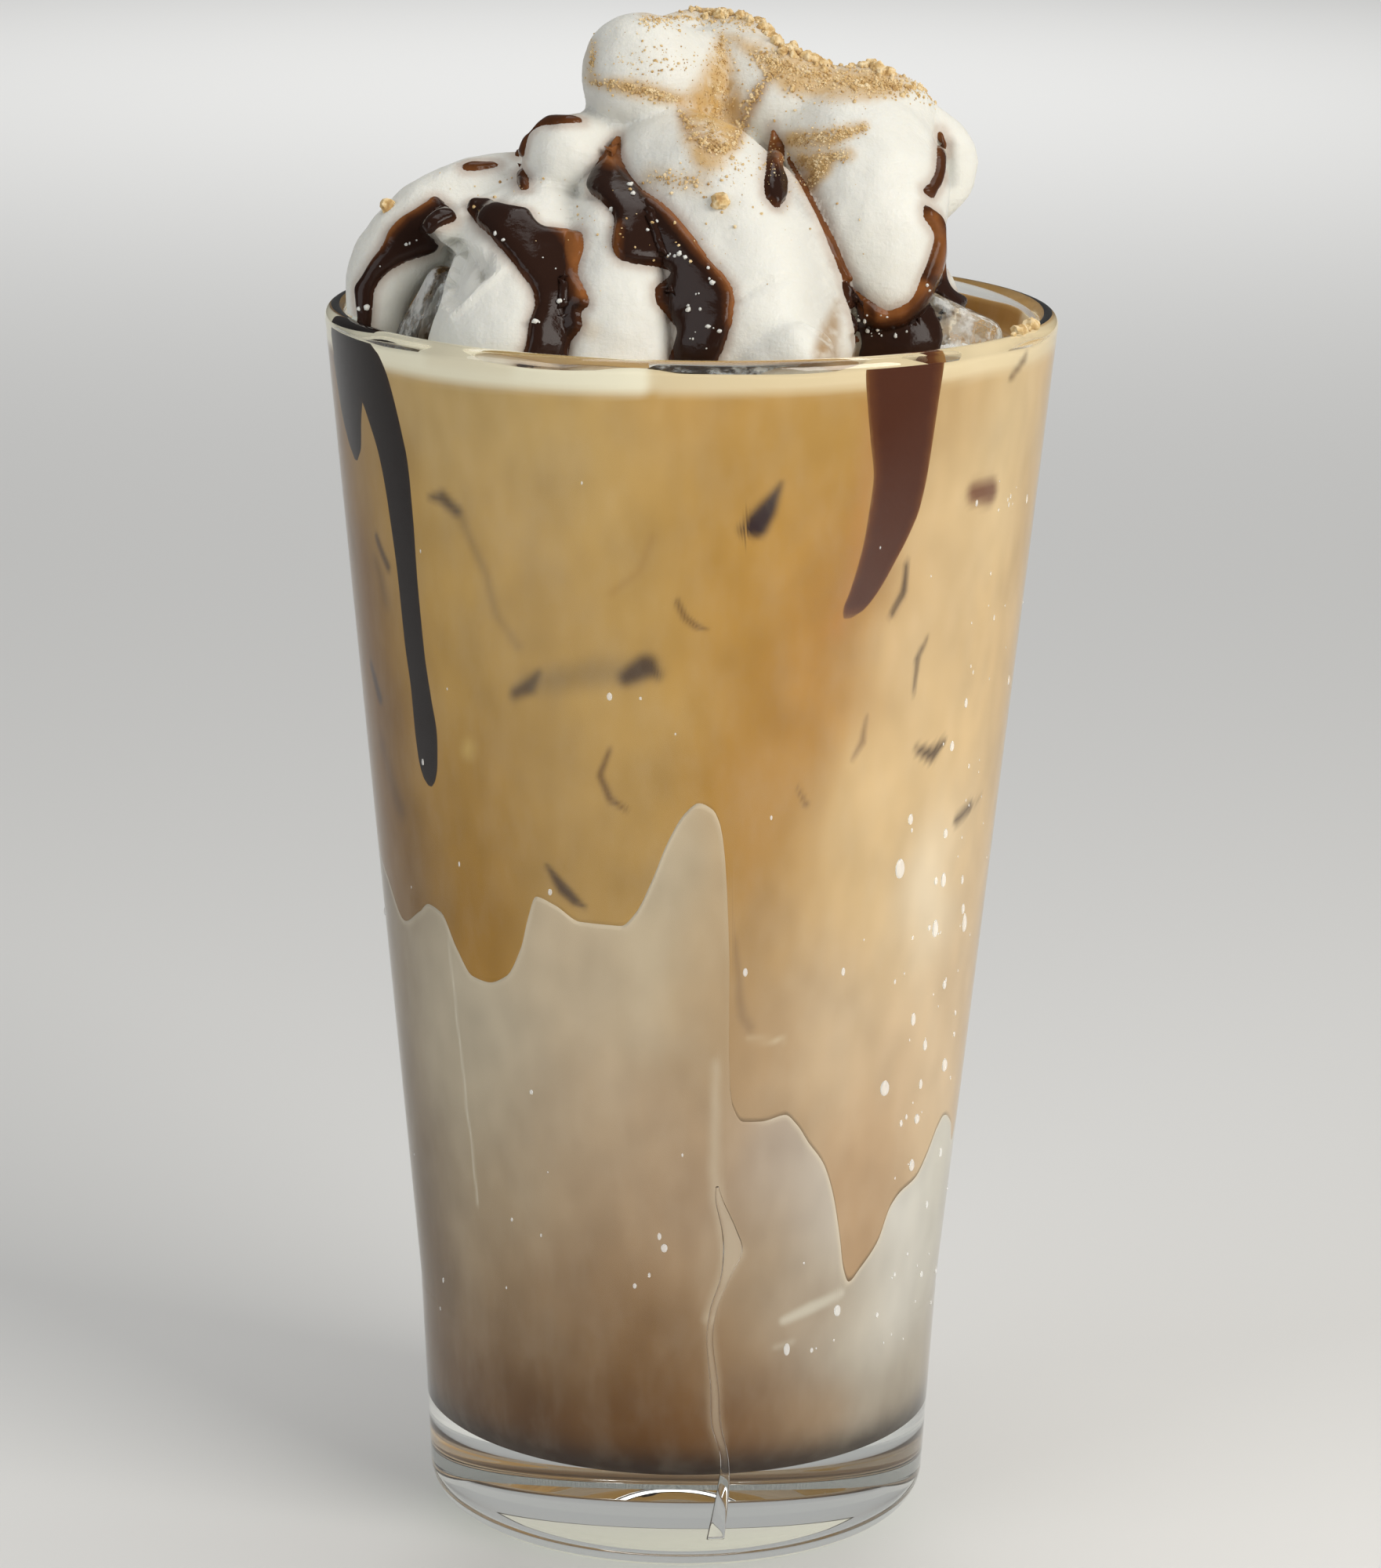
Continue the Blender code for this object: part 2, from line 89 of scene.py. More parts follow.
class Wire:
    """One socket in a node tree. Sums on wires add Math nodes, and node() adds any other node."""

    def __init__(self, tree, socket=None):
        self.tree = tree
        self.socket = socket

    def node(self, kind, settings, inputs, out=0):
        made = self.tree.nodes.new(kind)
        for name, value in settings.items():
            if name == "stops":
                ramp = made.color_ramp.elements
                ramp[0].position, ramp[1].position = value[0][0], value[-1][0]
                for place, _ in value[1:-1]:
                    ramp.new(place)
                for stop, (_, colour) in zip(ramp, value):
                    stop.color = (*colour, 1)
            else:
                setattr(made, name, value)
        for name, value in inputs.items():
            if isinstance(value, Wire):
                self.tree.links.new(value.socket, made.inputs[name])
            else:
                made.inputs[name].default_value = value
        return Wire(self.tree, made.outputs[out] if made.outputs else None)

    def maths(self, operation, *values, clamp=False):
        settings = {"operation": operation, "use_clamp": clamp}
        return self.node("ShaderNodeMath", settings, dict(enumerate(values)))

    def __add__(self, other):
        return self.maths("ADD", self, other)

    def __sub__(self, other):
        return self.maths("SUBTRACT", self, other)

    def __rsub__(self, other):
        return self.maths("SUBTRACT", other, self)

    def __mul__(self, other):
        return self.maths("MULTIPLY", self, other)

    __radd__ = __add__
    __rmul__ = __mul__

    def within(self, low, high):
        """0 below low and 1 above high, or the other way round, with a soft step between."""
        settings = {"interpolation_type": "SMOOTHSTEP"}
        return self.node("ShaderNodeMapRange", settings, {"Value": self, "From Min": low, "From Max": high})

    def blend(self, first, second, mode="MIX"):
        """Two colours mixed by this wire."""
        settings = {"data_type": "RGBA", "blend_type": mode}
        return self.node("ShaderNodeMix", settings, {0: self, 6: first, 7: second}, 2)

    def place(self, stretch=(1, 1, 1)):
        """Where a point lies on the object, stretched along the axes."""
        spot = self.node("ShaderNodeTexCoord", {}, {}, "Object")
        return self.node("ShaderNodeVectorMath", {"operation": "MULTIPLY"}, {0: spot, 1: stretch})

    def cloud(self, scale, detail=3, roughness=0.5, stretch=(1, 1, 1)):
        """Soft noise from 0 to 1, with a number of patches to the metre."""
        inputs = {"Vector": self.place(stretch), "Scale": scale, "Detail": detail, "Roughness": roughness}
        return self.node("ShaderNodeTexNoise", {}, inputs)

    def bump(self, height, distance, strength=1.0):
        return self.node("ShaderNodeBump", {}, {"Height": height, "Distance": distance, "Strength": strength})

    def stored(self, name, out):
        """A value that the mesh stores at each vertex."""
        return self.node("ShaderNodeAttribute", {"attribute_name": name}, {}, out)

    def ray(self, kind):
        """1 for rays of one kind and 0 for all others."""
        return self.node("ShaderNodeLightPath", {}, {}, f"Is {kind} Ray")

    def principled(self, inputs, **settings):
        return self.node("ShaderNodeBsdfPrincipled", settings, inputs)

    def mixed(self, first, second):
        """Two shaders mixed by this wire."""
        return self.node("ShaderNodeMixShader", {}, {0: self, 1: first, 2: second})


def new_finish(name):
    """A material with an empty node tree, and a wire to build on."""
    made = bpy.data.materials.new(name)
    made.use_nodes = True
    made.node_tree.nodes.clear()
    return made, Wire(made.node_tree)


def surface(wire, shader):
    wire.node("ShaderNodeOutputMaterial", {}, {"Surface": shader})


def clear_finish(name, tint, ior, clarity):
    """Clear glass or water that lets lamps through to what it holds."""
    made, wire = new_finish(name)
    body = wire.principled({"Base Color": tint, "Roughness": 0.0, "IOR": ior, "Transmission Weight": clarity})
    passing = wire.node("ShaderNodeBsdfTransparent", {}, {"Color": tint})
    by = wire.maths("MAXIMUM", wire.ray("Shadow"), wire.ray("Diffuse"))
    surface(wire, by.mixed(body, passing))
    return made


def placed(name, data):
    """An object in the scene."""
    made = bpy.data.objects.new(name, data)
    bpy.context.scene.collection.objects.link(made)
    return made


def shell(name, points, faces, material):
    """An object made of points and faces."""
    mesh = bpy.data.meshes.new(name)
    mesh.from_pydata(points.tolist(), [], faces)
    mesh.materials.append(material)
    return placed(name, mesh)


def piece(name, points, faces, material, slot, *nodes):
    """A mesh that belongs to the drink: it rides on the body and stands for the nodes it replaces."""
    made = shell(name, points, faces, material)
    made.data.shade_smooth()
    return joined_to_drink(made, slot, *nodes)


def joined_to_drink(made, slot, *nodes):
    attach(made, "root")
    if nodes:
        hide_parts(*nodes)
    return made


def as_evaluated(made):
    """Replaces an object's mesh by what its modifiers make of it."""
    bpy.context.view_layer.update()
    graph = bpy.context.evaluated_depsgraph_get()
    mesh = bpy.data.meshes.new_from_object(made.evaluated_get(graph))
    made.modifiers.clear()
    made.data = mesh
    return made


def arc(centre, radius, start, end, steps):
    """Points of an arc in the x-z plane, with angles in degrees from +X towards +Z."""
    turns = [math.radians(start + (end - start) * i / steps) for i in range(steps + 1)]
    return [(centre[0] + radius * math.cos(t), centre[1] + radius * math.sin(t)) for t in turns]


def closed_skin(rings, first, last):
    """A closed skin over rings that turn anticlockwise, from a first point to a last."""
    count = len(rings[0])
    points = np.concatenate([[first], *rings, [last]])
    i = np.arange(count)
    j = (i + 1) % count
    top = 1 + (len(rings) - 1) * count
    faces = [(0, b, a) for a, b in zip((1 + i).tolist(), (1 + j).tolist())]
    for row in range(len(rings) - 1):
        low = 1 + row * count
        faces += np.stack([low + i, low + j, low + count + j, low + count + i], axis=1).tolist()
    faces += [(a, b, len(points) - 1) for a, b in zip((top + i).tolist(), (top + j).tolist())]
    return points, faces


def ring(radius, turns, height):
    """Points round the axis, at angles in radians from the front towards the right."""
    return np.stack(np.broadcast_arrays(radius * np.sin(turns), -radius * np.cos(turns), height), axis=1)


def turned_rings(profile, turns):
    """Rings round the axis at each radius and height of a profile."""
    return [ring(radius, turns, height) for radius, height in profile]


def inner_radius(z):
    """The glass's inner radius at a height, above the rounded corner of its floor."""
    low, high = FLOOR_HEIGHT + FLOOR_CORNER, GLASS_HEIGHT - RIM_WALL / 2
    return FLOOR_RADIUS + (RIM_RADIUS - RIM_WALL - FLOOR_RADIUS) * (z - low) / (high - low)


def outer_radius(z):
    """The glass's outer radius at a height above the knee."""
    return KNEE_RADIUS + (RIM_RADIUS - KNEE_RADIUS) * (z - KNEE_HEIGHT) / (GLASS_HEIGHT - KNEE_HEIGHT)


lip = RIM_WALL / 2
outside = [
    (PUNT_RADIUS - 3 * PUNT_DEPTH, PUNT_DEPTH),
    (PUNT_RADIUS - PUNT_DEPTH, 0.3 * PUNT_DEPTH),
    (PUNT_RADIUS, 0),
]
outside += arc((FOOT_RADIUS - FOOT_CORNER, FOOT_CORNER), FOOT_CORNER, -90, -4, 12)
outside += arc((KNEE_RADIUS - KNEE_CORNER, KNEE_HEIGHT), KNEE_CORNER, -2.6, 5.5, 4)
outside += arc((RIM_RADIUS - lip, GLASS_HEIGHT - lip), lip, 0, 180, 16)
inside = arc((FLOOR_RADIUS - FLOOR_CORNER, FLOOR_HEIGHT + FLOOR_CORNER), FLOOR_CORNER, 0, -90, 12)
turns = np.linspace(0, math.tau, GLASS_TURNS, endpoint=False)
points, faces = closed_skin(turned_rings(outside + inside, turns), (0, 0, PUNT_DEPTH), (0, 0, FLOOR_HEIGHT))
clear_glass = clear_finish("clear glass", GLASS_TINT, GLASS_IOR, 1.0)
piece("glass_tumbler", points, faces, clear_glass, "clear_glass", "glass")


# The drink's two layers: coffee poured over cold milk, which it sinks into in fingers down the wall.
# Chocolate has settled from the milk to the floor. Ice wholly sunk in the coffee shows as dark
# touches where it meets the glass. Each layer reaches a little into the wall, so no air shows between.
INTO_WALL = 0.1 * MM
DRINK_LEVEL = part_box("coffee_layer")[1][2]
FILM_HEIGHT = 3.4 * MM
FILM_UNEVEN = 0.5 * MM
SHORE_MEAN = 72 * MM
FRONT_STEP = 0.5
BACK_STEP = 1.5
FRONT_REACH = 96
COFFEE_ROWS = 128
MILK_ROWS = 104
# The rows that take the top of the coffee from its film in to the axis: how far in from the wall in
# mm, and how far up the film
TOP_ROWS = (
    (0.12, 0.97), (0.3, 0.8), (0.4, 0.5), (0.6, 0.25), (1, 0.1), (1.8, 0.03), (3, 0), (7, 0), (14, 0),
    (24, 0), (34, 0),
)
# How far out from the axis the rows of the face between the layers lie, as shares
SHORE_ROWS = (0.2, 0.4, 0.6, 0.75, 0.87, 0.95)
SHORE_GAP = 0.15 * MM
# Where coffee meets milk: degrees from the front towards the right, and height in mm
SHORE = (
    (-180, 78), (-164, 64), (-150, 84), (-138, 70), (-122, 88), (-104, 72), (-92, 85), (-79, 82),
    (-70, 77.7), (-62, 80), (-58, 81.5), (-54, 81), (-50, 77), (-46, 74), (-42, 73.7), (-37, 75), (-33, 79),
    (-31, 83), (-29, 85.8), (-25, 85), (-20, 83.3), (-12, 83.2), (-9, 85), (-6, 89), (-3, 94), (0, 97.5),
    (2.5, 98.8), (5, 98), (6.5, 96), (7.5, 92), (8.5, 84), (9.2, 76), (9.6, 66), (10.4, 61), (13, 58.5),
    (17, 58.4), (22, 59), (25, 57.5), (28, 55), (32, 52), (35, 48), (38, 42), (40, 37.5), (42, 35.6),
    (45, 37), (50, 40), (53, 44), (56, 45.5), (62, 46.7), (66, 49), (70, 52), (73, 53), (80, 51), (84, 48),
    (100, 66), (116, 52), (134, 80), (158, 60), (180, 78),
)
# Washes of colour: azimuth and height of the middle, how far each spreads, and the colour in sRGB
COFFEE_WASHES = (
    ((-80, 115, 11, 45), (124, 92, 56)),  # shaded left edge
    ((-67, 100, 6, 14), (104, 74, 44)),
    ((-62, 124, 7, 30), (164, 132, 86)),
    ((-45, 147, 14, 9), (212, 184, 136)),
    ((-45, 122, 12, 22), (198, 160, 96)),
    ((-43, 86, 9, 14), (166, 122, 54)),  # finger at the left
    ((-68, 84, 8, 10), (138, 110, 70)),
    ((-22, 146, 11, 8), (206, 174, 118)),
    ((2, 148, 14, 7), (198, 160, 105)),
    ((-16, 122, 18, 18), (197, 161, 103)),  # middle
    ((-18, 91, 15, 11), (182, 148, 95)),
    ((14, 118, 11, 24), (177, 133, 68)),  # amber beside it
    ((12, 98, 6, 10), (168, 126, 66)),
    ((19, 142, 9, 8), (188, 153, 98)),
    ((27, 126, 6, 10), (152, 108, 51)),
    ((21, 110, 5, 9), (170, 122, 58)),
    ((50, 122, 13, 24), (209, 180, 139)),  # milky right
    ((45, 147, 11, 6), (184, 153, 110)),
    ((62, 140, 8, 10), (220, 197, 158)),
    ((58, 100, 13, 14), (218, 188, 144)),
    # A pale spot at the right: a painted highlight, where drops on the glass catch the light
    ((56, 86, 6, 6), (238, 227, 208)),
    ((82, 118, 11, 40), (218, 186, 138)),
    ((32, 92, 8, 10), (211, 181, 136)),
    ((21, 84, 6, 8), (188, 154, 106)),
    ((17, 67, 8, 11), (174, 148, 118)),  # pink foot, mixed with milk
    ((31, 70, 6, 8), (202, 178, 148)),
    ((13, 80, 4, 6), (184, 154, 116)),
    ((43, 44, 9, 11), (182, 152, 120)),
    ((66, 68, 13, 14), (214, 189, 158)),
    ((110, 100, 22, 50), (186, 150, 102)),  # round the back
    ((150, 115, 25, 40), (176, 140, 88)),
    ((150, 72, 25, 14), (176, 146, 108)),
    ((-165, 110, 25, 45), (170, 136, 84)),
    ((-125, 110, 22, 45), (164, 134, 88)),
)
MILK_WASHES = (
    ((-78, 55, 12, 30), (122, 104, 80)),  # shaded left edge
    ((-70, 42, 6, 12), (102, 84, 64)),
    ((-60, 66, 9, 18), (188, 175, 154)),
    ((-45, 66, 13, 12), (203, 189, 166)),
    ((-45, 43, 14, 11), (172, 150, 120)),
    ((-48, 26, 18, 7), (130, 106, 80)),
    ((-48, 17, 18, 4), (88, 66, 46)),
    ((-24, 76, 10, 8), (202, 182, 154)),
    ((-18, 56, 15, 10), (190, 166, 138)),
    ((-18, 40, 18, 8), (168, 140, 110)),
    ((-15, 28, 20, 7), (137, 109, 78)),
    ((-10, 18, 30, 5), (105, 77, 51)),  # settled chocolate
    ((-4, 86, 7, 10), (200, 183, 157)),
    ((5, 78, 5, 12), (180, 153, 118)),
    ((5, 64, 5, 9), (178, 153, 122)),
    ((2, 52, 8, 8), (168, 142, 115)),
    ((20, 52, 10, 8), (183, 167, 152)),
    ((20, 38, 10, 7), (168, 147, 120)),
    ((22, 25, 12, 6), (138, 112, 86)),
    ((36, 46, 8, 8), (194, 183, 171)),
    ((36, 29, 10, 7), (173, 160, 143)),
    ((34, 19, 9, 4), (160, 136, 108)),
    ((47, 29, 7, 7), (196, 188, 174)),
    ((58, 40, 12, 14), (214, 210, 204)),  # pale right
    ((80, 42, 12, 18), (212, 208, 196)),
    ((72, 18, 16, 5), (138, 125, 104)),
    ((125, 55, 30, 22), (180, 162, 140)),  # round the back
    ((125, 22, 35, 10), (128, 106, 82)),
    ((-170, 58, 30, 22), (172, 154, 130)),
    ((-160, 22, 35, 10), (118, 94, 70)),
    ((-118, 60, 25, 22), (166, 150, 130)),
    ((-105, 22, 25, 10), (116, 94, 72)),
)
# Touches of colour down the wall: how strong, how soft in mm, the colour in sRGB, and a line of points,
# each an azimuth, a height and a half width in mm
DARK, BROWN, SMOKE = (44, 24, 26), (86, 54, 32), (104, 86, 62)
COFFEE_TOUCHES = (
    # The first three touches are painted light: a pale band just under the lip, where the rounded lip
    # brightens the coffee, and a painted reflection at its left
    (0.95, 0.9, (252, 243, 219), (-100, 149.8, 2.2), (-38, 149.7, 2.2), (-8, 149.8, 1.9)),
    (0.9, 0.9, (228, 208, 172), (-4, 149.8, 1.8), (36, 150, 1.8), (100, 150, 1.9)),
    (0.5, 1.5, (232, 216, 186), (-44, 150, 1), (-30, 149.8, 1)),
    (0.75, 2.6, (178, 132, 68), (14, 102, 4.5), (12.6, 92, 1.6), (12.2, 88, 0.4)),
    (0.5, 0.5, (132, 104, 76), (9.8, 82, 0.3), (11, 77, 0.4), (12, 72, 0.5), (13.8, 70.4, 0.5)),
    (0.5, 0.4, (214, 196, 168), (13.5, 69, 0.2), (20.9, 68.6, 0.25)),
    (1.0, 0.7, DARK, (8.6, 131.9, 0.5), (11, 132.5, 1.5), (12.6, 134.4, 1.1), (14.6, 137.2, 0.2)),
    (0.8, 0.7, DARK, (-47.4, 133, 0.15), (-44.5, 133.3, 0.8), (-41.3, 132, 0.6)),
    (0.36, 1.0, DARK, (-40.5, 131.5, 0.5), (-36, 125, 0.4), (-34, 120, 0.3), (-30, 116.6, 0.2)),
    (0.8, 0.7, DARK, (-31.2, 110.8, 0.7), (-28.6, 111.8, 0.9), (-26.4, 113.6, 0.3)),
    (0.42, 1.6, SMOKE, (-28, 112.3, 1.2), (-16, 114.2, 1.7), (-6, 115.2, 1.2)),
    (0.85, 0.8, DARK, (-10.6, 113.9, 0.9), (-7, 115.4, 1.4), (-4.8, 114.4, 0.4)),
    (0.7, 0.35, BROWN, (-1.6, 123.4, 0.25), (-0.4, 121.4, 0.35), (1.4, 120.4, 0.35), (3.2, 120, 0.1)),
    (0.75, 0.4, BROWN, (-13.6, 105, 0.2), (-15.2, 101.8, 0.35), (-13.4, 98.9, 0.4), (-10.4, 97.7, 0.15)),
    (0.85, 0.5, DARK, (-26.4, 89.8, 0.2), (-23, 87.1, 0.75), (-21, 85.9, 0.6), (-18.8, 85.2, 0.15)),
    (0.85, 0.4, DARK, (39, 126.6, 0.3), (38.9, 123, 0.45), (36.8, 120.5, 0.3)),
    (0.75, 0.35, DARK, (45.6, 116.7, 0.2), (43.3, 114.6, 0.35), (43.7, 110.5, 0.25)),
    (0.6, 0.4, BROWN, (33.6, 108.2, 0.2), (33.2, 105.3, 0.35), (31.1, 103.4, 0.2)),
    (0.6, 0.3, BROWN, (20.5, 100.2, 0.15), (22.5, 98, 0.3)),
    (0.85, 0.5, DARK, (46, 103.2, 0.4), (50, 102.1, 0.9), (53.2, 103.4, 0.4)),
    (0.9, 1.0, (104, 58, 42), (54, 133.8, 1.3), (58.6, 133.5, 1.6)),
    (0.75, 0.5, DARK, (60.8, 92.6, 0.7), (65.8, 93.7, 0.7)),
    (0.4, 0.5, BROWN, (66, 93.4, 0.4), (71, 94.2, 0.2)),
    (0.7, 0.5, BROWN, (61.2, 147, 0.4), (65.8, 149, 0.5)),
    (0.8, 0.5, DARK, (-65, 126.2, 0.5), (-61.8, 123, 0.6)),
    (0.8, 0.5, DARK, (-74.4, 109.2, 0.5), (-70.8, 105.5, 0.8)),
    (0.35, 1.6, DARK, (-72.5, 99.5, 1), (-66.5, 92.5, 1.4)),
    (0.35, 1.2, DARK, (-66.5, 123, 0.8), (-63.5, 118.5, 0.8)),
    (0.7, 0.5, DARK, (31, 148, 0.5), (31.6, 147.6, 0.5)),
    (0.5, 2.2, (176, 116, 56), (29.6, 146, 0.6), (29.8, 134, 0.8), (28.6, 125, 0.9), (26, 119.5, 0.8)),
    # A painted highlight: a small bright spot at the left
    (0.5, 1.6, (236, 204, 130), (-42.6, 102.4, 0.4), (-42.2, 103.2, 0.3)),
    (0.35, 0.8, (150, 106, 52), (-6, 131, 0.3), (-8, 127, 0.2), (-13, 124, 0.2)),
    (0.7, 0.5, DARK, (98, 120, 0.4), (103, 117, 0.7)),
    (0.7, 0.5, BROWN, (128, 104, 0.5), (131, 109, 0.6)),
    (0.6, 0.9, DARK, (150, 132, 0.8), (158, 134, 1.1)),
    (0.7, 0.5, DARK, (-166, 112, 0.6), (-160, 109, 0.6)),
    (0.7, 0.5, BROWN, (-140, 128, 0.4), (-136, 124, 0.7)),
    (0.7, 0.5, DARK, (-112, 118, 0.7), (-108, 121, 0.4)),
)
MILK_TOUCHES = (
    # A thin pale line at the left: a painted reflection in the glass
    (0.6, 0.22, (232, 224, 206), (-52.4, 82, 0.05), (-51.6, 66, 0.12), (-50, 44, 0.1)),
    (0.4, 0.7, (206, 190, 168), (7, 66, 0.5), (7.2, 52, 0.6), (9, 46, 0.7), (12, 41.5, 1.4), (9.2, 37, 0.6),
     (7, 33, 0.5)),
    (0.4, 0.7, (196, 176, 150), (7, 33, 0.5), (8.6, 25, 0.6), (9.6, 19, 0.8), (12, 13, 0.5)),
    (0.5, 0.5, (220, 214, 200), (25, 32, 0.5), (32, 33.2, 0.7), (40, 34.3, 0.5)),
    (0.3, 0.6, (214, 204, 186), (23.5, 28.6, 0.3), (27.5, 29, 0.3)),
)
# The pale line along the edge between the layers
HALO = (224, 208, 184)
HALO_WIDTH = 0.45 * MM
# The glass adds a pale sheen of its own, so the colours are laid deeper by this much light
SHEEN = (0.035, 0.042, 0.038)
# The chocolate that has settled on the glass's floor, and painted light on the milk's underside, laid pale
# where it shows through the thick foot
FLOOR_LINE, PAINTED_BOTTOM_LIGHT = (44, 32, 26), (228, 224, 214)
# A painted glow: the milk's underside gives off this light itself, in place of the light that the thick foot
# gathers
PAINTED_BOTTOM_GLOW = (0.24, 0.23, 0.205, 1)


def srgb(colour):
    """A colour given as 0 to 255 in sRGB, as the linear light that shaders take."""
    share = np.asarray(colour, float) / 255
    return np.where(share <= 0.04045, share / 12.92, ((share + 0.055) / 1.055) ** 2.4)


def curve_through(stations, at):
    """A smooth curve through stations of (place, value) that never swings past them."""
    x, y = np.array(stations, float).T
    rise = np.diff(y) / np.diff(x)
    slope = np.zeros(len(x))
    turning = rise[:-1] * rise[1:] > 0
    both = np.where(turning, rise[:-1] + rise[1:], 1)
    slope[1:-1] = np.where(turning, 2 * rise[:-1] * rise[1:] / both, 0)
    at = np.clip(at, x[0], x[-1])
    i = np.clip(np.searchsorted(x, at) - 1, 0, len(rise) - 1)
    step = x[i + 1] - x[i]
    t = (at - x[i]) / step
    start, end = (2 * t**3 - 3 * t**2 + 1) * y[i], (3 * t**2 - 2 * t**3) * y[i + 1]
    return start + end + step * ((t**3 - 2 * t**2 + t) * slope[i] + (t**3 - t**2) * slope[i + 1])


def shore_height(azimuth):
    return curve_through(SHORE, azimuth) * MM


def warped(points, scale, amount, seed):
    """A wandering shift at each point, from soft noise."""
    shift = Vector((seed, seed * 1.7, seed * 0.3))
    return amount * np.array([noise.noise(Vector(p) * scale + shift) for p in points])


def washed(washes, azimuth, height):
    """Blends washes of colour, each of which fades out round its own middle."""
    total = np.zeros((len(azimuth), 3))
    weight = np.zeros(len(azimuth))
    for (middle, level, wide, tall), colour in washes:
        turn = (azimuth - middle + 180) % 360 - 180
        share = np.exp(-0.5 * ((turn / wide) ** 2 + ((height - level) / tall) ** 2)) + 1e-9
        total += share[:, None] * srgb(colour)
        weight += share
    return total / weight[:, None]


def gap_to_line(line, across, height):
    """How far spots lie outside a line of changing half width, all in mm."""
    nearest = np.full(len(across), 1e3)
    for (x0, z0, w0), (x1, z1, w1) in zip(line, line[1:]):
        along = (across - x0) * (x1 - x0) + (height - z0) * (z1 - z0)
        t = np.clip(along / max((x1 - x0) ** 2 + (z1 - z0) ** 2, 1e-6), 0, 1)
        gap = np.hypot(across - x0 - t * (x1 - x0), height - z0 - t * (z1 - z0)) - (w0 + (w1 - w0) * t)
        nearest = np.minimum(nearest, gap)
    return nearest


def soft_share(gap, softness):
    """1 well inside an edge and 0 well outside it."""
    share = np.clip(0.5 - gap / (2 * softness), 0, 1)
    return share * share * (3 - 2 * share)


def touched(colours, touches, azimuth, height):
    """Lays touches of colour over a wash. Each is a soft-edged line of changing width."""
    across = np.radians(azimuth) * inner_radius(height * MM) / MM
    for strength, softness, colour, *stations in touches:
        line = [(math.radians(a) * inner_radius(z * MM) / MM, z, half) for a, z, half in stations]
        share = strength * soft_share(gap_to_line(line, across, height), softness)
        colours = colours + share[:, None] * (srgb(colour) - colours)
    return colours


def paint(made, name, colours):
    """Stores a colour for each vertex, in place of any that a cut brought along."""
    if name in made.data.color_attributes:
        made.data.color_attributes.remove(made.data.color_attributes[name])
    layer = made.data.color_attributes.new(name, "FLOAT_COLOR", "POINT")
    layer.data.foreach_set("color", np.column_stack([colours, np.ones(len(colours))]).ravel())


def azimuth_of(points):
    """Degrees from the front towards the right."""
    return np.degrees(np.arctan2(points[:, 0], -points[:, 1]))


def layer_colours(points, washes, touches):
    """The colour at each point of a layer: washes with wisps in them, then touches, nudged by soft noise."""
    azimuth, level = azimuth_of(points), points[:, 2] / MM
    colours = washed(washes, azimuth + warped(points, 95, 5, 1), level + warped(points, 95, 3.5, 9))
    wisps = warped(points * (1, 1, 0.6), 420, 0.07, 4) + warped(points * (1, 1, 0.8), 150, 0.11, 6)
    colours = np.maximum(colours * (1 + wisps[:, None]) - SHEEN, 0.002)
    return touched(colours, touches, azimuth + warped(points, 260, 0.5, 3), level)


def drink_finish(name):
    """Opaque milky drink: dull where it lies against the glass, wet on top, with a painted glow on its
    underside.
    """
    made, wire = new_finish(name)
    tint = wire.stored("tint", "Color")
    streak = wire.cloud(260, 4, 0.6, (1, 1, 0.4)).within(0.35, 0.75) * 0.06
    pale = streak.blend(tint, (0.78, 0.68, 0.55, 1))
    height = wire.node("ShaderNodeSeparateXYZ", {}, {"Vector": wire.place()}, "Z")
    facing = wire.node("ShaderNodeNewGeometry", {}, {}, "Normal")
    up = wire.node("ShaderNodeSeparateXYZ", {}, {"Vector": facing}, "Z")
    wet = up.within(0.6, 0.9) * height.within(DRINK_LEVEL - MM, DRINK_LEVEL - 0.5 * MM)
    # Painted glow: below the glass's floor the drink gives off light, though it is no lamp
    glow = height.within(FLOOR_HEIGHT, FLOOR_HEIGHT - 0.5 * INTO_WALL).blend((0, 0, 0, 1), PAINTED_BOTTOM_GLOW)
    shader = wire.principled({
        "Base Color": pale,
        "Roughness": 0.6,
        "Specular IOR Level": 0.0,
        "Coat Weight": wet,
        "Coat Roughness": 0.05,
        "Emission Color": glow,
        "Emission Strength": 1.0,
    })
    surface(wire, shader)
    return made


azimuths = np.concatenate([
    np.arange(-FRONT_REACH, FRONT_REACH, FRONT_STEP),
    np.arange(FRONT_REACH, 360 - FRONT_REACH, BACK_STEP),
])
columns = np.radians(azimuths)
shore = shore_height((azimuths + 180) % 360 - 180)


def shore_ring(share, lift):
    """A ring of the face between the layers, a share of the way from the axis to the wall."""
    z = SHORE_MEAN + (shore - SHORE_MEAN) * share**1.5
    return ring(share * (inner_radius(z) + INTO_WALL), columns, z + lift * (1 - share**6))


rings = [shore_ring(share, SHORE_GAP) for share in SHORE_ROWS]
wander = [noise.noise(Vector((math.sin(turn) * 4, math.cos(turn) * 4, 2))) for turn in columns]
brim = DRINK_LEVEL + FILM_HEIGHT + FILM_UNEVEN * np.array(wander)
for row in range(COFFEE_ROWS + 1):
    level = shore + (brim - shore) * row / COFFEE_ROWS
    rings.append(ring(inner_radius(level) + INTO_WALL, columns, level))
for inward, up in TOP_ROWS:
    level = DRINK_LEVEL + up * (brim - DRINK_LEVEL)
    rings.append(ring(inner_radius(level) - inward * MM, columns, level))
points, faces = closed_skin(rings, (0, 0, SHORE_MEAN), (0, 0, DRINK_LEVEL))
coffee = piece("coffee", points, faces, drink_finish("milky coffee"), "coffee", "coffee_layer")
paint(coffee, "tint", layer_colours(points, COFFEE_WASHES, COFFEE_TOUCHES))

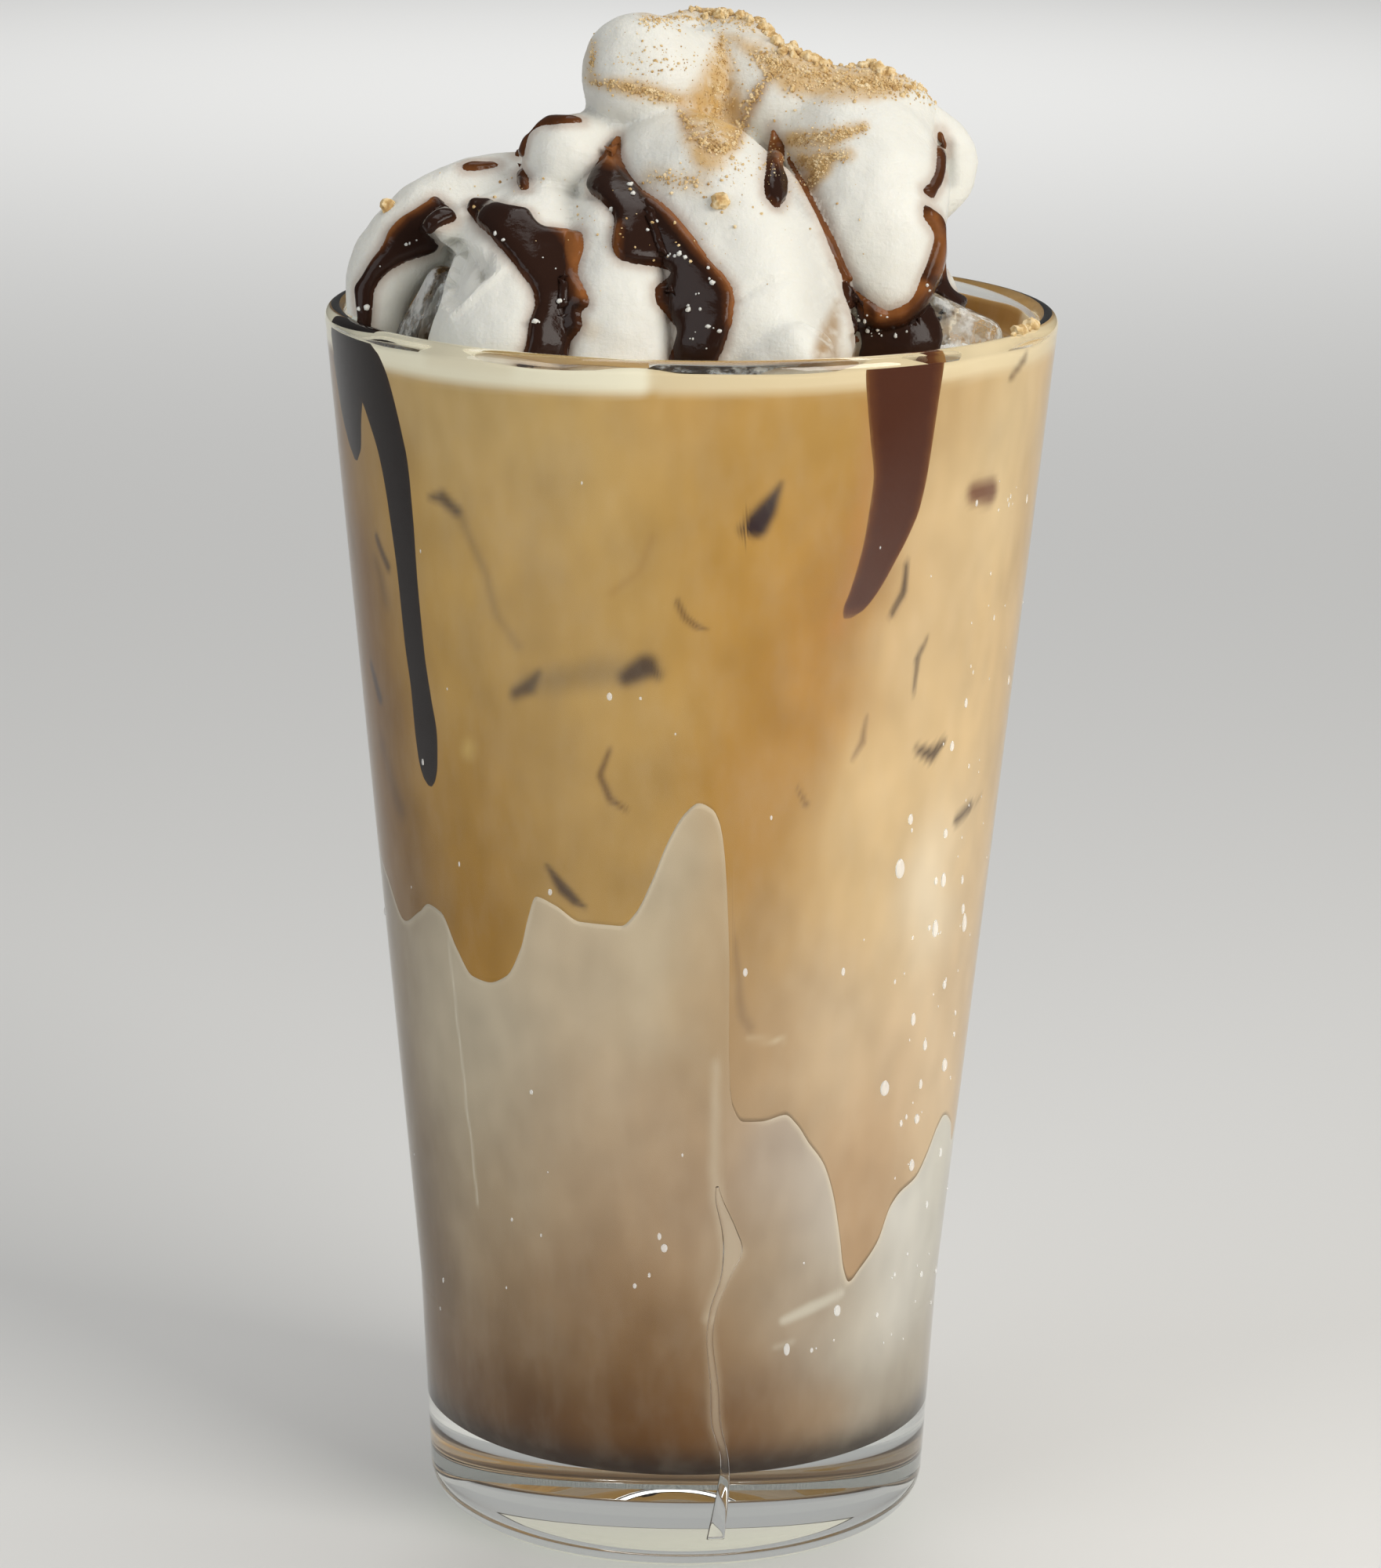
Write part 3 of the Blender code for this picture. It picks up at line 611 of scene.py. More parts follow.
base = FLOOR_HEIGHT + FLOOR_CORNER
profile = [(r * MM, FLOOR_HEIGHT - INTO_WALL) for r in (4, 8, 12, 16)]
profile += arc((FLOOR_RADIUS - FLOOR_CORNER, base), FLOOR_CORNER + INTO_WALL, -90, 0, 8)
rings = turned_rings(profile, columns)
for row in range(1, MILK_ROWS + 1):
    level = base + (shore - base) * row / MILK_ROWS
    rings.append(ring(inner_radius(level) + INTO_WALL, columns, level))
rings += [shore_ring(share, -SHORE_GAP) for share in SHORE_ROWS[::-1]]
points, faces = closed_skin(rings, (0, 0, FLOOR_HEIGHT - INTO_WALL), (0, 0, SHORE_MEAN))
milk = piece("milk", points, faces, drink_finish("coffee-stained milk"), "milk", "milk_layer")
tints = layer_colours(points, MILK_WASHES, MILK_TOUCHES)
azimuth = azimuth_of(points)
edge = shore_height(azimuth)
slope = (shore_height(azimuth + 0.5) - shore_height(azimuth - 0.5)) / (math.radians(1) * 33 * MM)
below = (edge - points[:, 2]) / np.hypot(1, slope)
# The halo fades out beside the steep side of the tall finger
halo = 0.5 * np.exp(-((below / HALO_WIDTH) ** 2)) * (1 - np.exp(-(((azimuth - 12) / 6) ** 4)))
tints = tints + halo[:, None] * (srgb(HALO) - tints)
settled = np.exp(-((np.maximum(points[:, 2] / MM - 12.6, 0) / 3) ** 2)) * (points[:, 2] > FLOOR_HEIGHT)
tints = tints + 0.85 * settled[:, None] * (srgb(FLOOR_LINE) - tints)
# Painted light: the underside is laid pale, where it shows through the thick foot
tints[points[:, 2] < FLOOR_HEIGHT] = srgb(PAINTED_BOTTOM_LIGHT)
paint(milk, "tint", tints)


# Chocolate syrup that ran down inside the glass before it was filled: a near-black run at the left
# and a thinner brown one at the right. Each is a film held between the drink and the wall.
FILM = 0.16 * MM
FILM_STEP = 0.5
FILM_COLUMNS = 24
# Colours where the syrup is thick, middling and thin
DARK_SYRUP = (0.010, 0.005, 0.004), (0.016, 0.008, 0.005), (0.055, 0.026, 0.012)
BROWN_SYRUP = (0.072, 0.021, 0.010), (0.12, 0.04, 0.015), (0.32, 0.16, 0.055)
# Rows up each run: height in mm, then the azimuths of its two edges
SYRUP_RUNS = {
    "syrup_run_left": (
        (96.6, -54.6, -53.4), (97.6, -56, -52.2), (100, -57.2, -51), (104, -57.6, -50.4), (108, -57.6, -51.2),
        (114, -58.3, -52.1), (122, -58.6, -52.3), (130, -59.6, -52), (134, -60.4, -52), (137, -61.5, -52.2),
        (140, -63.5, -53), (143, -66.5, -54), (146, -79, -55), (149, -80, -57.5), (150.3, -79, -60),
    ),
    "syrup_prong_left": (
        (134.6, -72, -70), (136.6, -74.4, -67.8), (140, -77.4, -66.4), (143.5, -79, -64.6), (147, -80, -63.4),
    ),
    "syrup_run_right": (
        (120.4, 27, 28.6), (121.4, 26.8, 31), (124, 27.9, 34.2), (127, 29, 36.8), (130, 29.8, 39.2),
        (133, 30.2, 41), (137, 30.6, 42), (142, 29.4, 42.6), (146, 28.4, 43), (150.4, 27.6, 43.4),
    ),
    "syrup_run_back": (
        (112, 168.5, 169.6), (113.5, 167.4, 171), (118, 167, 171.8), (126, 166, 172), (135, 165, 172.5),
        (143, 163, 173), (150, 161, 175),
    ),
}


def syrup_finish(name, thick, middle, thin, gloss):
    """Syrup, dark where it is thick and glowing brown where it thins out."""
    made, wire = new_finish(name)
    depth = wire.stored("depth", "Fac") + wire.cloud(700, 3, 0.6) * 0.3 - 0.15
    tint = wire.node("ShaderNodeValToRGB", {"stops": ((0.0, thin), (0.5, middle), (0.9, thick))}, {0: depth})
    shader = wire.principled({
        "Base Color": tint,
        "Roughness": wire.cloud(500, 3).within(0.2, 0.8) * 0.12 + 0.07,
        "Specular IOR Level": gloss,
        "Normal": wire.bump(wire.cloud(620, 4, 0.55), 0.2 * MM, 0.4),
    })
    surface(wire, shader)
    return made


dark_syrup = syrup_finish("dark syrup", *DARK_SYRUP, 0.0)
brown_syrup = syrup_finish("brown syrup", *BROWN_SYRUP, 0.0)
for name, rows in SYRUP_RUNS.items():
    heights = np.array([row[0] for row in rows])
    levels = np.arange(heights[0], heights[-1] + 0.01, FILM_STEP)
    left = curve_through([(z, a) for z, a, _ in rows], levels)
    right = curve_through([(z, b) for z, _, b in rows], levels)
    across = np.linspace(-1, 1, FILM_COLUMNS + 1)
    rings, depths = [], []
    for z, a, b in zip(levels, left, right):
        turn = np.radians((a + b) / 2 + (b - a) / 2 * across)
        end = min(1, (z - levels[0] + 0.3) / 2.2)
        out = inner_radius(z * MM) + 0.06 * MM + FILM * end * (1 - across**6)
        back = np.full(len(out), inner_radius(z * MM) - 0.35 * MM)
        radius, turn = np.concatenate([out, back]), np.concatenate([turn, turn[::-1]])
        rings.append(ring(radius, turn, z * MM))
        shade = end * (1 - np.abs(across) ** 5)
        depths += [*shade, *shade[::-1]]
    points, faces = closed_skin(rings, rings[0].mean(axis=0), rings[-1].mean(axis=0))
    film = piece(name, points, faces, brown_syrup if "right" in name else dark_syrup, "coffee")
    layer = film.data.attributes.new("depth", "FLOAT", "POINT")
    layer.data.foreach_set("value", np.array([0, *depths, 1], float))


# Ice: cubes from a tray, melted round at the edges and dimpled, with cloudy patches. Four stand out
# of the coffee round the cream.
# Each cube: its middle and its edge in mm, and its tilt in degrees
ICE = {
    "ice_left": ((-25.5, -16.0, 147.5), 16.0, (22, 20, 33)),
    "ice_front": ((3.0, -27.0, 142.5), 17.0, (12, -9, 9)),
    "ice_right": ((27.5, -8.5, 146.0), 17.0, (-20, 22, -17)),
    "ice_back": ((-15.0, 22.0, 145.0), 18.0, (20, -17, 35)),
}
ICE_ROUNDING = 2.2 * MM
ICE_TINT = (0.93, 0.95, 0.95, 1)
FROST = (0.82, 0.84, 0.83, 1)
ICE_DIMPLE = 0.5 * MM
CUT_SHY = 0.1 * MM
# What lies under the ice where it is cut out of the coffee
UNDER_ICE = (172, 136, 84)


def ice_finish():
    """Clear wet ice with cloudy patches."""
    made, wire = new_finish("wet ice")
    dimples = wire.bump(wire.cloud(260, 3, 0.5), 0.8 * MM, 0.6)
    clear = {"Base Color": ICE_TINT, "Roughness": 0.02, "IOR": 1.31, "Transmission Weight": 1.0}
    body = wire.principled({**clear, "Normal": dimples})
    frost = wire.principled({"Base Color": FROST, "Roughness": 0.3})
    cloudy = wire.cloud(330, 5, 0.65, (1, 1, 0.5)).within(0.44, 0.62) * 0.6
    passing = wire.node("ShaderNodeBsdfTransparent", {}, {"Color": ICE_TINT})
    surface(wire, wire.ray("Shadow").mixed(cloudy.mixed(body, frost), passing))
    return made


def from_bmesh(name, bm):
    """A smooth-shaded object made of a bmesh, which is freed."""
    mesh = bpy.data.meshes.new(name)
    bm.to_mesh(mesh)
    bm.free()
    mesh.shade_smooth()
    return placed(name, mesh)


def ice_cube(name, material, shrink):
    """A cube with melted edges and dimpled faces, or its slightly smaller twin for cutting."""
    middle, edge, tilt = ICE[name.removesuffix("_cube")]
    bm = bmesh.new()
    bmesh.ops.create_cube(bm, size=edge * MM - 2 * shrink)
    bmesh.ops.bevel(
        bm, geom=bm.edges[:] + bm.verts[:], offset=ICE_ROUNDING, segments=4, profile=0.5, affect="EDGES"
    )
    bmesh.ops.subdivide_edges(bm, edges=bm.edges[:], cuts=3, use_grid_fill=True)
    bmesh.ops.triangulate(bm, faces=bm.faces[:])
    bm.normal_update()
    for v in bm.verts:
        hollow = 0.5 + 0.5 * noise.noise(v.co * 190 + Vector(middle))
        v.co -= v.normal * ICE_DIMPLE * hollow
    turn = Euler([math.radians(a) for a in tilt]).to_matrix().to_4x4()
    bmesh.ops.transform(bm, matrix=Matrix.Translation(Vector(middle) * MM) @ turn, verts=bm.verts)
    made = from_bmesh(name, bm)
    made.data.materials.append(material)
    return made


def cut_by(made, tool, operation="DIFFERENCE"):
    """Cuts one closed mesh by another at once."""
    step = made.modifiers.new("cut", "BOOLEAN")
    step.operation = operation
    step.object = tool
    step.solver = "MANIFOLD"
    as_evaluated(made)


ice_material = ice_finish()
coffee_material = coffee.data.materials[0]
ice_cutters = []
for name in ICE:
    joined_to_drink(ice_cube(name + "_cube", ice_material, 0), "ice", name)
for name in ICE:
    cutter = ice_cube(name, coffee_material, CUT_SHY)
    paint(cutter, "tint", np.tile(srgb(UNDER_ICE), (len(cutter.data.vertices), 1)))
    ice_cutters.append(cutter)
    cut_by(coffee, cutter)


# Whipped cream: piped in soft lobes, which have run together and slumped to the rim of the glass.
# One lobe arches down to the glass at the left, and a ball and a ridge stand on top.
# Each lobe is a row of balls, with the middle and the radius of each in mm.
CREAM_LOBES = (
    # the heart of the heap, under everything else
    ((0, 4, 150, 24), (1, 4, 160, 17.5), (2, 3, 170, 10)),
    # the arch at the left, which springs from the rim
    ((-37.6, -12, 150.5, 3.6), (-37, -11, 156, 4.4), (-33, -9, 161, 5.6), (-26.5, -6, 163, 7),
     (-17, -2, 162, 9)),
    # petals of the curled end inside the arch
    ((-19, -9, 163.5, 5.5), (-25.5, -15, 162.5, 3.6), (-30.5, -20.5, 164, 0.9)),
    ((-18, -10, 159, 6.5), (-23, -16, 160, 4), (-26.5, -19.5, 163.2, 0.9)),
    ((-20, -12, 154, 8), (-24.5, -17, 155.5, 5), (-26.5, -20, 158.5, 1.6)),
    # the front lobes, from left to right
    ((-16, -8, 165.5, 4), (-18, -14.5, 161.5, 7), (-20.3, -20.5, 156, 8.8), (-20.8, -22.5, 150, 10.3)),
    ((-9.5, -14, 166.5, 4), (-9, -20.5, 161, 6.2), (-8.6, -25.5, 154, 7), (-8.6, -26.5, 149, 7.4)),
    ((-4.5, -8, 169.5, 6.5), (0.2, -12.5, 167.2, 9.6), (4.6, -17.5, 160, 11.6), (7, -21.5, 151, 12.3)),
    # the small tongue at the foot of the third
    ((9, -31, 149.5, 4.4), (12.6, -33, 151.2, 4)),
    # the right lobe, the base under it and the curl behind it
    ((16.5, -3, 173, 7.6), (20.3, -8, 169.5, 9.4), (21.3, -12.5, 163.5, 9.2), (22.2, -16, 158, 5.6)),
    ((15, -6, 152, 11), (24, -11, 149, 7.5)),
    ((26, -1, 175, 3.4), (30, 0, 171.5, 3.6), (30.4, 0, 168, 3.4), (27.4, -1, 164.5, 3.2)),
    # the second layer's cut end, the top ball and the ridge that falls away from it
    ((-9, -3, 170, 6), (-14.4, -9, 170.6, 5.6), (-15.4, -10.4, 170.6, 5.2)),
    ((1, 5, 176, 8), (-6, -5, 180.2, 7.7)),
    ((3, 5, 178.5, 7.2), (9.8, -1, 176.8, 6.8), (16, -2, 174.4, 7.2), (21, -3, 173.4, 7.8)),
    ((-2, 8, 181.2, 5.6), (1.4, 8.5, 181.8, 5.2), (6.4, 5.5, 181.8, 4.6)),
    ((18.8, -2.5, 177.2, 4), (20.4, -2.5, 178.2, 3.6), (22.9, -2.5, 174.8, 6)),
)
# The lobes round the back follow a rule: each leans in from the rim to the top, in balls so far out,
# so high and so large
BACK_LOBES = 6
BACK_FROM, BACK_TO = 84, 278
BACK_STEPS = ((22.5, 151, 10.5), (17, 161, 9), (9.5, 170, 8))
BACK_UNEVEN = 1.4
SEED = 7
# Balls along a lobe stand this far apart, in mm
BEAD_SPACING = 0.9
CREAM_VOXEL = 0.55 * MM
CREAM_SMOOTHING, LAST_SMOOTHING = 7, 3
# Waves in the skin: how many to the metre, and how high
CREAM_WAVES = ((150, 0.55 * MM), (420, 0.16 * MM))
OVER_RIM = GLASS_HEIGHT + 0.3 * MM
OPEN_AIR = 0.3
# The eye that the lines on the cream and the sauce are seen from
EYE_DISTANCE = 673.5 * MM
EYE_HEIGHT = 251 * MM
# Folds: how far the skin is raised or sunk and how softly, in mm, then a line of places seen from the
# front, each across the axis, up, and a half width
CREAM_FOLDS = (
    (-0.8, 2.2, (11.5, 168, 1), (14, 160.7, 2), (16.4, 150, 2.4)),
    (
        0.8, 0.5, (10.6, 171, 0.2), (12.6, 166.9, 0.3), (14.6, 163.1, 0.3), (16.2, 160, 0.3),
        (17.5, 157, 0.3), (18.4, 154.4, 0.3), (19.4, 149, 0.3),
    ),
    (-1.7, 0.6, (-28.6, 158, 1.4), (-27.6, 156.3, 2.3), (-29.2, 153, 1.4)),
    (0.5, 0.5, (-29.3, 150.1, 0.3), (-26.9, 152.5, 0.3), (-24.5, 154.7, 0.3), (-22.9, 156.1, 0.3)),
    (-0.8, 0.5, (-24.8, 157.6, 0.5), (-25.5, 156.2, 1.2)),
    (-0.5, 0.8, (5, 152.5, 0.3), (9, 155, 0.4), (12, 155.4, 0.2)),
    (-0.4, 0.7, (-17, 166.5, 0.3), (-12.5, 165.2, 0.5)),
)


def smooth_path(points, spacing):
    """Stations along a smooth curve through points, about a spacing apart. Every column is carried along."""
    ends = [points[0], *points, points[-1]]
    made = []
    for p0, p1, p2, p3 in zip(ends, ends[1:], ends[2:], ends[3:]):
        steps = max(1, round(math.dist(p1[:3], p2[:3]) / spacing))
        for i in range(steps):
            t = i / steps
            made.append([
                0.5 * (
                    2 * b + (c - a) * t + (2 * a - 5 * b + 4 * c - d) * t**2
                    + (3 * b - a - 3 * c + d) * t**3
                )
                for a, b, c, d in zip(p0, p1, p2, p3)
            ])
    made.append(list(points[-1]))
    return made


def back_lobes():
    """The lobes behind, evenly spaced but for a little unevenness."""
    draw = random.Random(SEED)
    for i in range(BACK_LOBES):
        lean = math.radians(BACK_FROM + (BACK_TO - BACK_FROM) * i / (BACK_LOBES - 1))
        drift = math.radians(draw.uniform(8, 16))
        yield [
            (
                out * math.sin(lean + drift * step),
                -out * math.cos(lean + drift * step),
                z + draw.uniform(-0.5, 0.5) * BACK_UNEVEN,
                size + draw.uniform(-0.5, 0.5) * BACK_UNEVEN,
            )
            for step, (out, z, size) in enumerate(BACK_STEPS)
        ]


def ball_template(subdivisions):
    """Corners and faces of a unit ball."""
    bm = bmesh.new()
    bmesh.ops.create_icosphere(bm, subdivisions=subdivisions, radius=1)
    corners = np.array([v.co for v in bm.verts])
    sides = np.array([[v.index for v in face.verts] for face in bm.faces])
    bm.free()
    return corners, sides


def ball_faces(corners, sides, count):
    """The faces of as many balls, whose corners follow one another."""
    return (sides + len(corners) * np.arange(count)[:, None, None]).reshape(-1, 3)


def soften(made, steps):
    step = made.modifiers.new("soft", "SMOOTH")
    step.factor = 0.5
    step.iterations = steps


def cream_finish():
    """Whipped cream: soft, white and faintly wrinkled, letting a little light in."""
    made, wire = new_finish("whipped cream")
    tint = wire.stored("tint", "Color")
    fine = wire.cloud(1300, 4, 0.6)
    broad = wire.cloud(240, 3, 0.5)
    shade = (broad.within(0.35, 0.7) * 0.25).blend(tint, (0.68, 0.67, 0.61, 1))
    inputs = {
        "Base Color": shade,
        "Roughness": fine.within(0.2, 0.8) * 0.2 + 0.38,
        "Specular IOR Level": 0.35,
        "Subsurface Weight": 0.25,
        "Subsurface Radius": (1.0, 0.85, 0.65),
        "Subsurface Scale": 1.6 * MM,
        "Normal": wire.bump(fine + broad, 0.22 * MM, 0.6),
    }
    surface(wire, wire.principled(inputs, subsurface_method="RANDOM_WALK"))
    return made


corners, sides = ball_template(3)
lobes = [*CREAM_LOBES, *back_lobes()]
places = np.array([bead for lobe in lobes for bead in smooth_path(lobe, BEAD_SPACING)])
points = ((corners * places[:, None, 3:] + places[:, None, :3]) * MM).reshape(-1, 3)
faces = ball_faces(corners, sides, len(places)).tolist()
cream_material = cream_finish()
cream = piece("cream_heap", points, faces, cream_material, "cream", "whipped_cream")
remesh = cream.modifiers.new("one skin", "REMESH")
remesh.mode = "VOXEL"
remesh.voxel_size = CREAM_VOXEL
soften(cream, CREAM_SMOOTHING)
as_evaluated(cream)


def move_to(made, spots):
    made.data.vertices.foreach_set("co", spots.ravel())
    made.data.update()


def waved(made, waves):
    """Pushes a mesh in and out along its normals by soft noise."""
    spots, normals = arrays_of(made)
    push = sum(warped(spots, scale, amount, 11 * k + 2) for k, (scale, amount) in enumerate(waves))
    move_to(made, spots + normals * push[:, None])


def skin_of(*pieces):
    """A tree for finding where a ray meets the skins of some meshes."""
    corners, sides = [], []
    for made in pieces:
        start = len(corners)
        corners += [v.co.copy() for v in made.data.vertices]
        sides += [[start + corner for corner in side.vertices] for side in made.data.polygons]
    return BVHTree.FromPolygons(corners, sides)


def eye_on(side):
    """The place of the eye when it looks from a side, in degrees from the front."""
    return Matrix.Rotation(math.radians(side), 3, "Z") @ Vector((0, -EYE_DISTANCE, EYE_HEIGHT))


def seen(side, spots):
    """Where spots show from the eye on a side, across the axis and up, in mm."""
    turn = math.radians(side)
    along = spots[:, 0] * math.cos(turn) + spots[:, 1] * math.sin(turn)
    away = spots[:, 1] * math.cos(turn) - spots[:, 0] * math.sin(turn)
    near = EYE_DISTANCE / (away + EYE_DISTANCE)
    return along * near / MM, (EYE_HEIGHT + (spots[:, 2] - EYE_HEIGHT) * near) / MM


def in_sight(skin, side, spots, picked, slack):
    """Those of the picked spots that lie no deeper than some slack behind what the eye on a side sees."""
    eye = eye_on(side)
    clear = []
    for index in picked:
        way = Vector(spots[index]) - eye
        reach = skin.ray_cast(eye, way)[3]
        clear.append(reach is None or reach > way.length - slack)
    return picked[np.array(clear, bool)]


def arrays_of(made):
    """The places and normals of a mesh's vertices."""
    count = len(made.data.vertices)
    spots, normals = np.empty(count * 3), np.empty(count * 3)
    made.data.vertices.foreach_get("co", spots)
    made.data.vertex_normals.foreach_get("vector", normals)
    return spots.reshape(-1, 3), normals.reshape(-1, 3)


def folded(made, folds):
    """Raises and sinks the skin along lines seen from the front."""
    spots, normals = arrays_of(made)
    across, height = seen(0, spots)
    push = np.zeros(len(spots))
    for amount, softness, *line in folds:
        push += amount * soft_share(gap_to_line(line, across, height), softness)
    picked = in_sight(skin_of(made), 0, spots, np.flatnonzero((push != 0) & (normals[:, 1] < -0.05)), MM)
    spots[picked] += normals[picked] * push[picked, None] * MM
    move_to(made, spots)


waved(cream, CREAM_WAVES)
folded(cream, CREAM_FOLDS)
soften(cream, LAST_SMOOTHING)
as_evaluated(cream)

# The room that the cream may take is the top of the glass, then open air over the rim
base = DRINK_LEVEL + 0.1 * MM
shoulder = OVER_RIM - 1.6 * MM
profile = [
    (10 * MM, base),
    (inner_radius(base) + INTO_WALL, base),
    (inner_radius(shoulder) + INTO_WALL, shoulder),
    (inner_radius(OVER_RIM) - 0.3 * MM, OVER_RIM),
    (2 * RIM_RADIUS, OVER_RIM),
    (2 * RIM_RADIUS, OPEN_AIR),
    (10 * MM, OPEN_AIR),
]
points, faces = closed_skin(turned_rings(profile, turns), (0, 0, base), (0, 0, OPEN_AIR))
room = shell("room", points, faces, cream_material)
cut_by(cream, room, "INTERSECT")
bpy.data.objects.remove(room)
for cutter in ice_cutters:
    cutter.data.materials[0] = cream_material
    cut_by(cream, cutter)
    bpy.data.objects.remove(cutter)
cream.data.materials.clear()
cream.data.materials.append(cream_material)
cream_skin = skin_of(cream)


# Chocolate sauce: thick syrup squeezed over the cream, so it lies in rounded runs that pool at the
# rim. Where it thins out at its edges it turns amber, and it stains the cream beside it.
# How thick the sauce is below the cream's skin, and how far round the cream it reaches out of sight
SAUCE_SUNK = 0.8 * MM
SAUCE_WRAP = 2.6 * MM
# Colours where it is thick, middling and thin
SAUCE_TONES = (0.024, 0.011, 0.0075), (0.075, 0.026, 0.010), (0.24, 0.088, 0.026)
# How far inside its outline, in mm, it reaches its full height and its full darkness
SAUCE_EDGE, THIN_EDGE = 1.2, 0.4
# How far outside its outline, in mm, its sunken margin goes, and how close the stained cream lies
SAUCE_MARGIN, STAIN_MARGIN = 1.1, 0.35
SAUCE_SMOOTHING = 10
SAUCE_KEPT = 0.45
ROW_STEP = 0.35
# Smaller or shallower bits than this are dropped
SCRAP_LEAST, SCRAP_DEPTH = 40, 0.25
# From here back, the amber follows soft noise instead of strokes
AMBER_BEHIND = 6 * MM
# Each run: the side it is laid on from in degrees, its thickness and the waver of its edges in mm,
# then rows of height and the places of its two edges, across the axis, in mm
SAUCE_RUNS = (
    # down the arch at the left
    (0, 0.9, 0.1, (164.8, -31.6, -30.8), (163.5, -33.1, -29.6), (162.1, -35.3, -28.6), (161.2, -36.2, -30.6),
     (160.4, -36.8, -31.6), (159.1, -37.4, -30.8), (158.2, -37.9, -31.2), (157, -38.8, -34.5),
     (155.2, -39.8, -37.4), (153.3, -40.8, -38.6), (150.4, -40.5, -38.9), (148.6, -40.2, -39)),
    # the bend at the left of the front
    (0, 1.0, 0.1, (164.6, -26.5, -24.9), (163.7, -27.3, -22.8), (163.2, -27.2, -19.9), (162, -26.3, -19.2),
     (161.2, -25.7, -18.3), (160.7, -25, -13.4), (158.9, -23.4, -13.3), (156, -21, -13.9),
     (153.4, -19.2, -12.9), (151.9, -19, -12.5), (151, -19.2, -13.5), (149.4, -19.7, -13.3),
     (147.1, -20, -14.8), (144, -20.8, -15.2)),
    # the longest run, with a lobe on its left
    (0, 1.1, 0.1, (172.6, -9.3, -8.9), (169.9, -11.2, -8.8), (168, -12.1, -8), (166.1, -12.6, -6.4),
     (164.3, -10.8, -3.7), (162.4, -9.4, -1.7), (159.5, -9.7, 0.6), (157.6, -9, 1.9), (157.1, -7.6, 2.4),
     (156.7, -4.2, 2.8), (156, -2.3, 3.5), (155, -3.2, 4.3), (153.9, -4.5, 4.9), (152.6, -4.4, 5.1),
     (150.5, -2.7, 4.9), (148.6, -1.4, 4.4), (147.2, -1.9, 4), (144.4, -2.8, 3.1)),
    # the drop beside the fold
    (0, 0.9, 0.05, (173.8, 9.4, 9.6), (171.1, 9, 10.9), (170.1, 8.9, 11), (168.8, 8.8, 10.5),
     (166.9, 8.6, 11.2),
     (165.4, 8.8, 11.2), (164.1, 9.7, 10.4)),
    # down the right lobe into the pool behind the rim
    (0, 0.8, 0.1, (164.8, 27.9, 28.1), (163.3, 27.9, 29.8), (162.1, 28.7, 30.3), (160.8, 29.3, 30.4),
     (158.1, 28.7, 30.5), (155.7, 27.8, 30.7), (154.3, 27.3, 31.4), (153.1, 26.7, 33.2), (152.2, 25.5, 32.9),
     (151.4, 23.4, 32.3), (150.4, 21.7, 31.4), (148.9, 20.8, 31.1), (144.6, 20.3, 29.4)),
    (0, 0.9, 0.1, (155.4, 18.2, 18.5), (153.2, 18.6, 21.1), (151.3, 19.2, 24), (148.9, 19.8, 26.5),
     (144.6, 20.3, 26.6)),
    # thin ones: on the curl, along the crease, over the arch and round the second layer's cut end
    (0, 0.5, 0.05, (173.6, 29.5, 29.9), (171.9, 29.4, 30.4), (169, 29.3, 30.3), (167.1, 28.5, 29.9),
     (166.4, 27.7, 29.5), (165.5, 28.6, 29.1)),
    (0, 0.3, 0.02, (170.6, 11.1, 11.5), (166.9, 13, 13.5), (163.1, 15, 15.5), (160, 16.3, 17.2),
     (157, 17.6, 18.5),
     (155.3, 18.2, 19.5)),
    (0, 0.4, 0.05, (169.2, -26.6, -23.9), (168.6, -28, -23.4), (168, -27.7, -26.4)),
    (0, 0.5, 0.05, (174.8, -18.2, -14.9), (174.1, -19.8, -13), (173.6, -20.6, -18.4), (172.1, -21.3, -20),
     (169.8, -21.5, -20.4)),
    (0, 0.6, 0.02, (168.3, -21, -20.5), (167, -21.3, -20), (165.8, -20.9, -19.9)),
    # the sides and the back
    (98, 1.0, 0.8, (170, 0, 2), (163, -1.4, 3.4), (155, 1.2, 5.8), (147, 0.8, 4.2)),
    (125, 1.0, 0.8, (170, 6.8, 9.2), (162, 0.1, 5.9), (154, 1.6, 8.4), (147, 0.4, 5.6)),
    (180, 1.0, 0.8, (169, -13.2, -10.8), (162, -12, -6), (154, -14.4, -7.6), (147, -11.6, -6.4)),
    (180, 1.0, 0.8, (172, 9, 11), (165, 10.8, 15.2), (156, 8.8, 15.2), (148, 11.4, 16.6)),
    (240, 1.0, 0.8, (170, -3.2, -0.8), (162, -1.9, 3.9), (154, -4, 2), (147, -1.2, 3.2)),
)
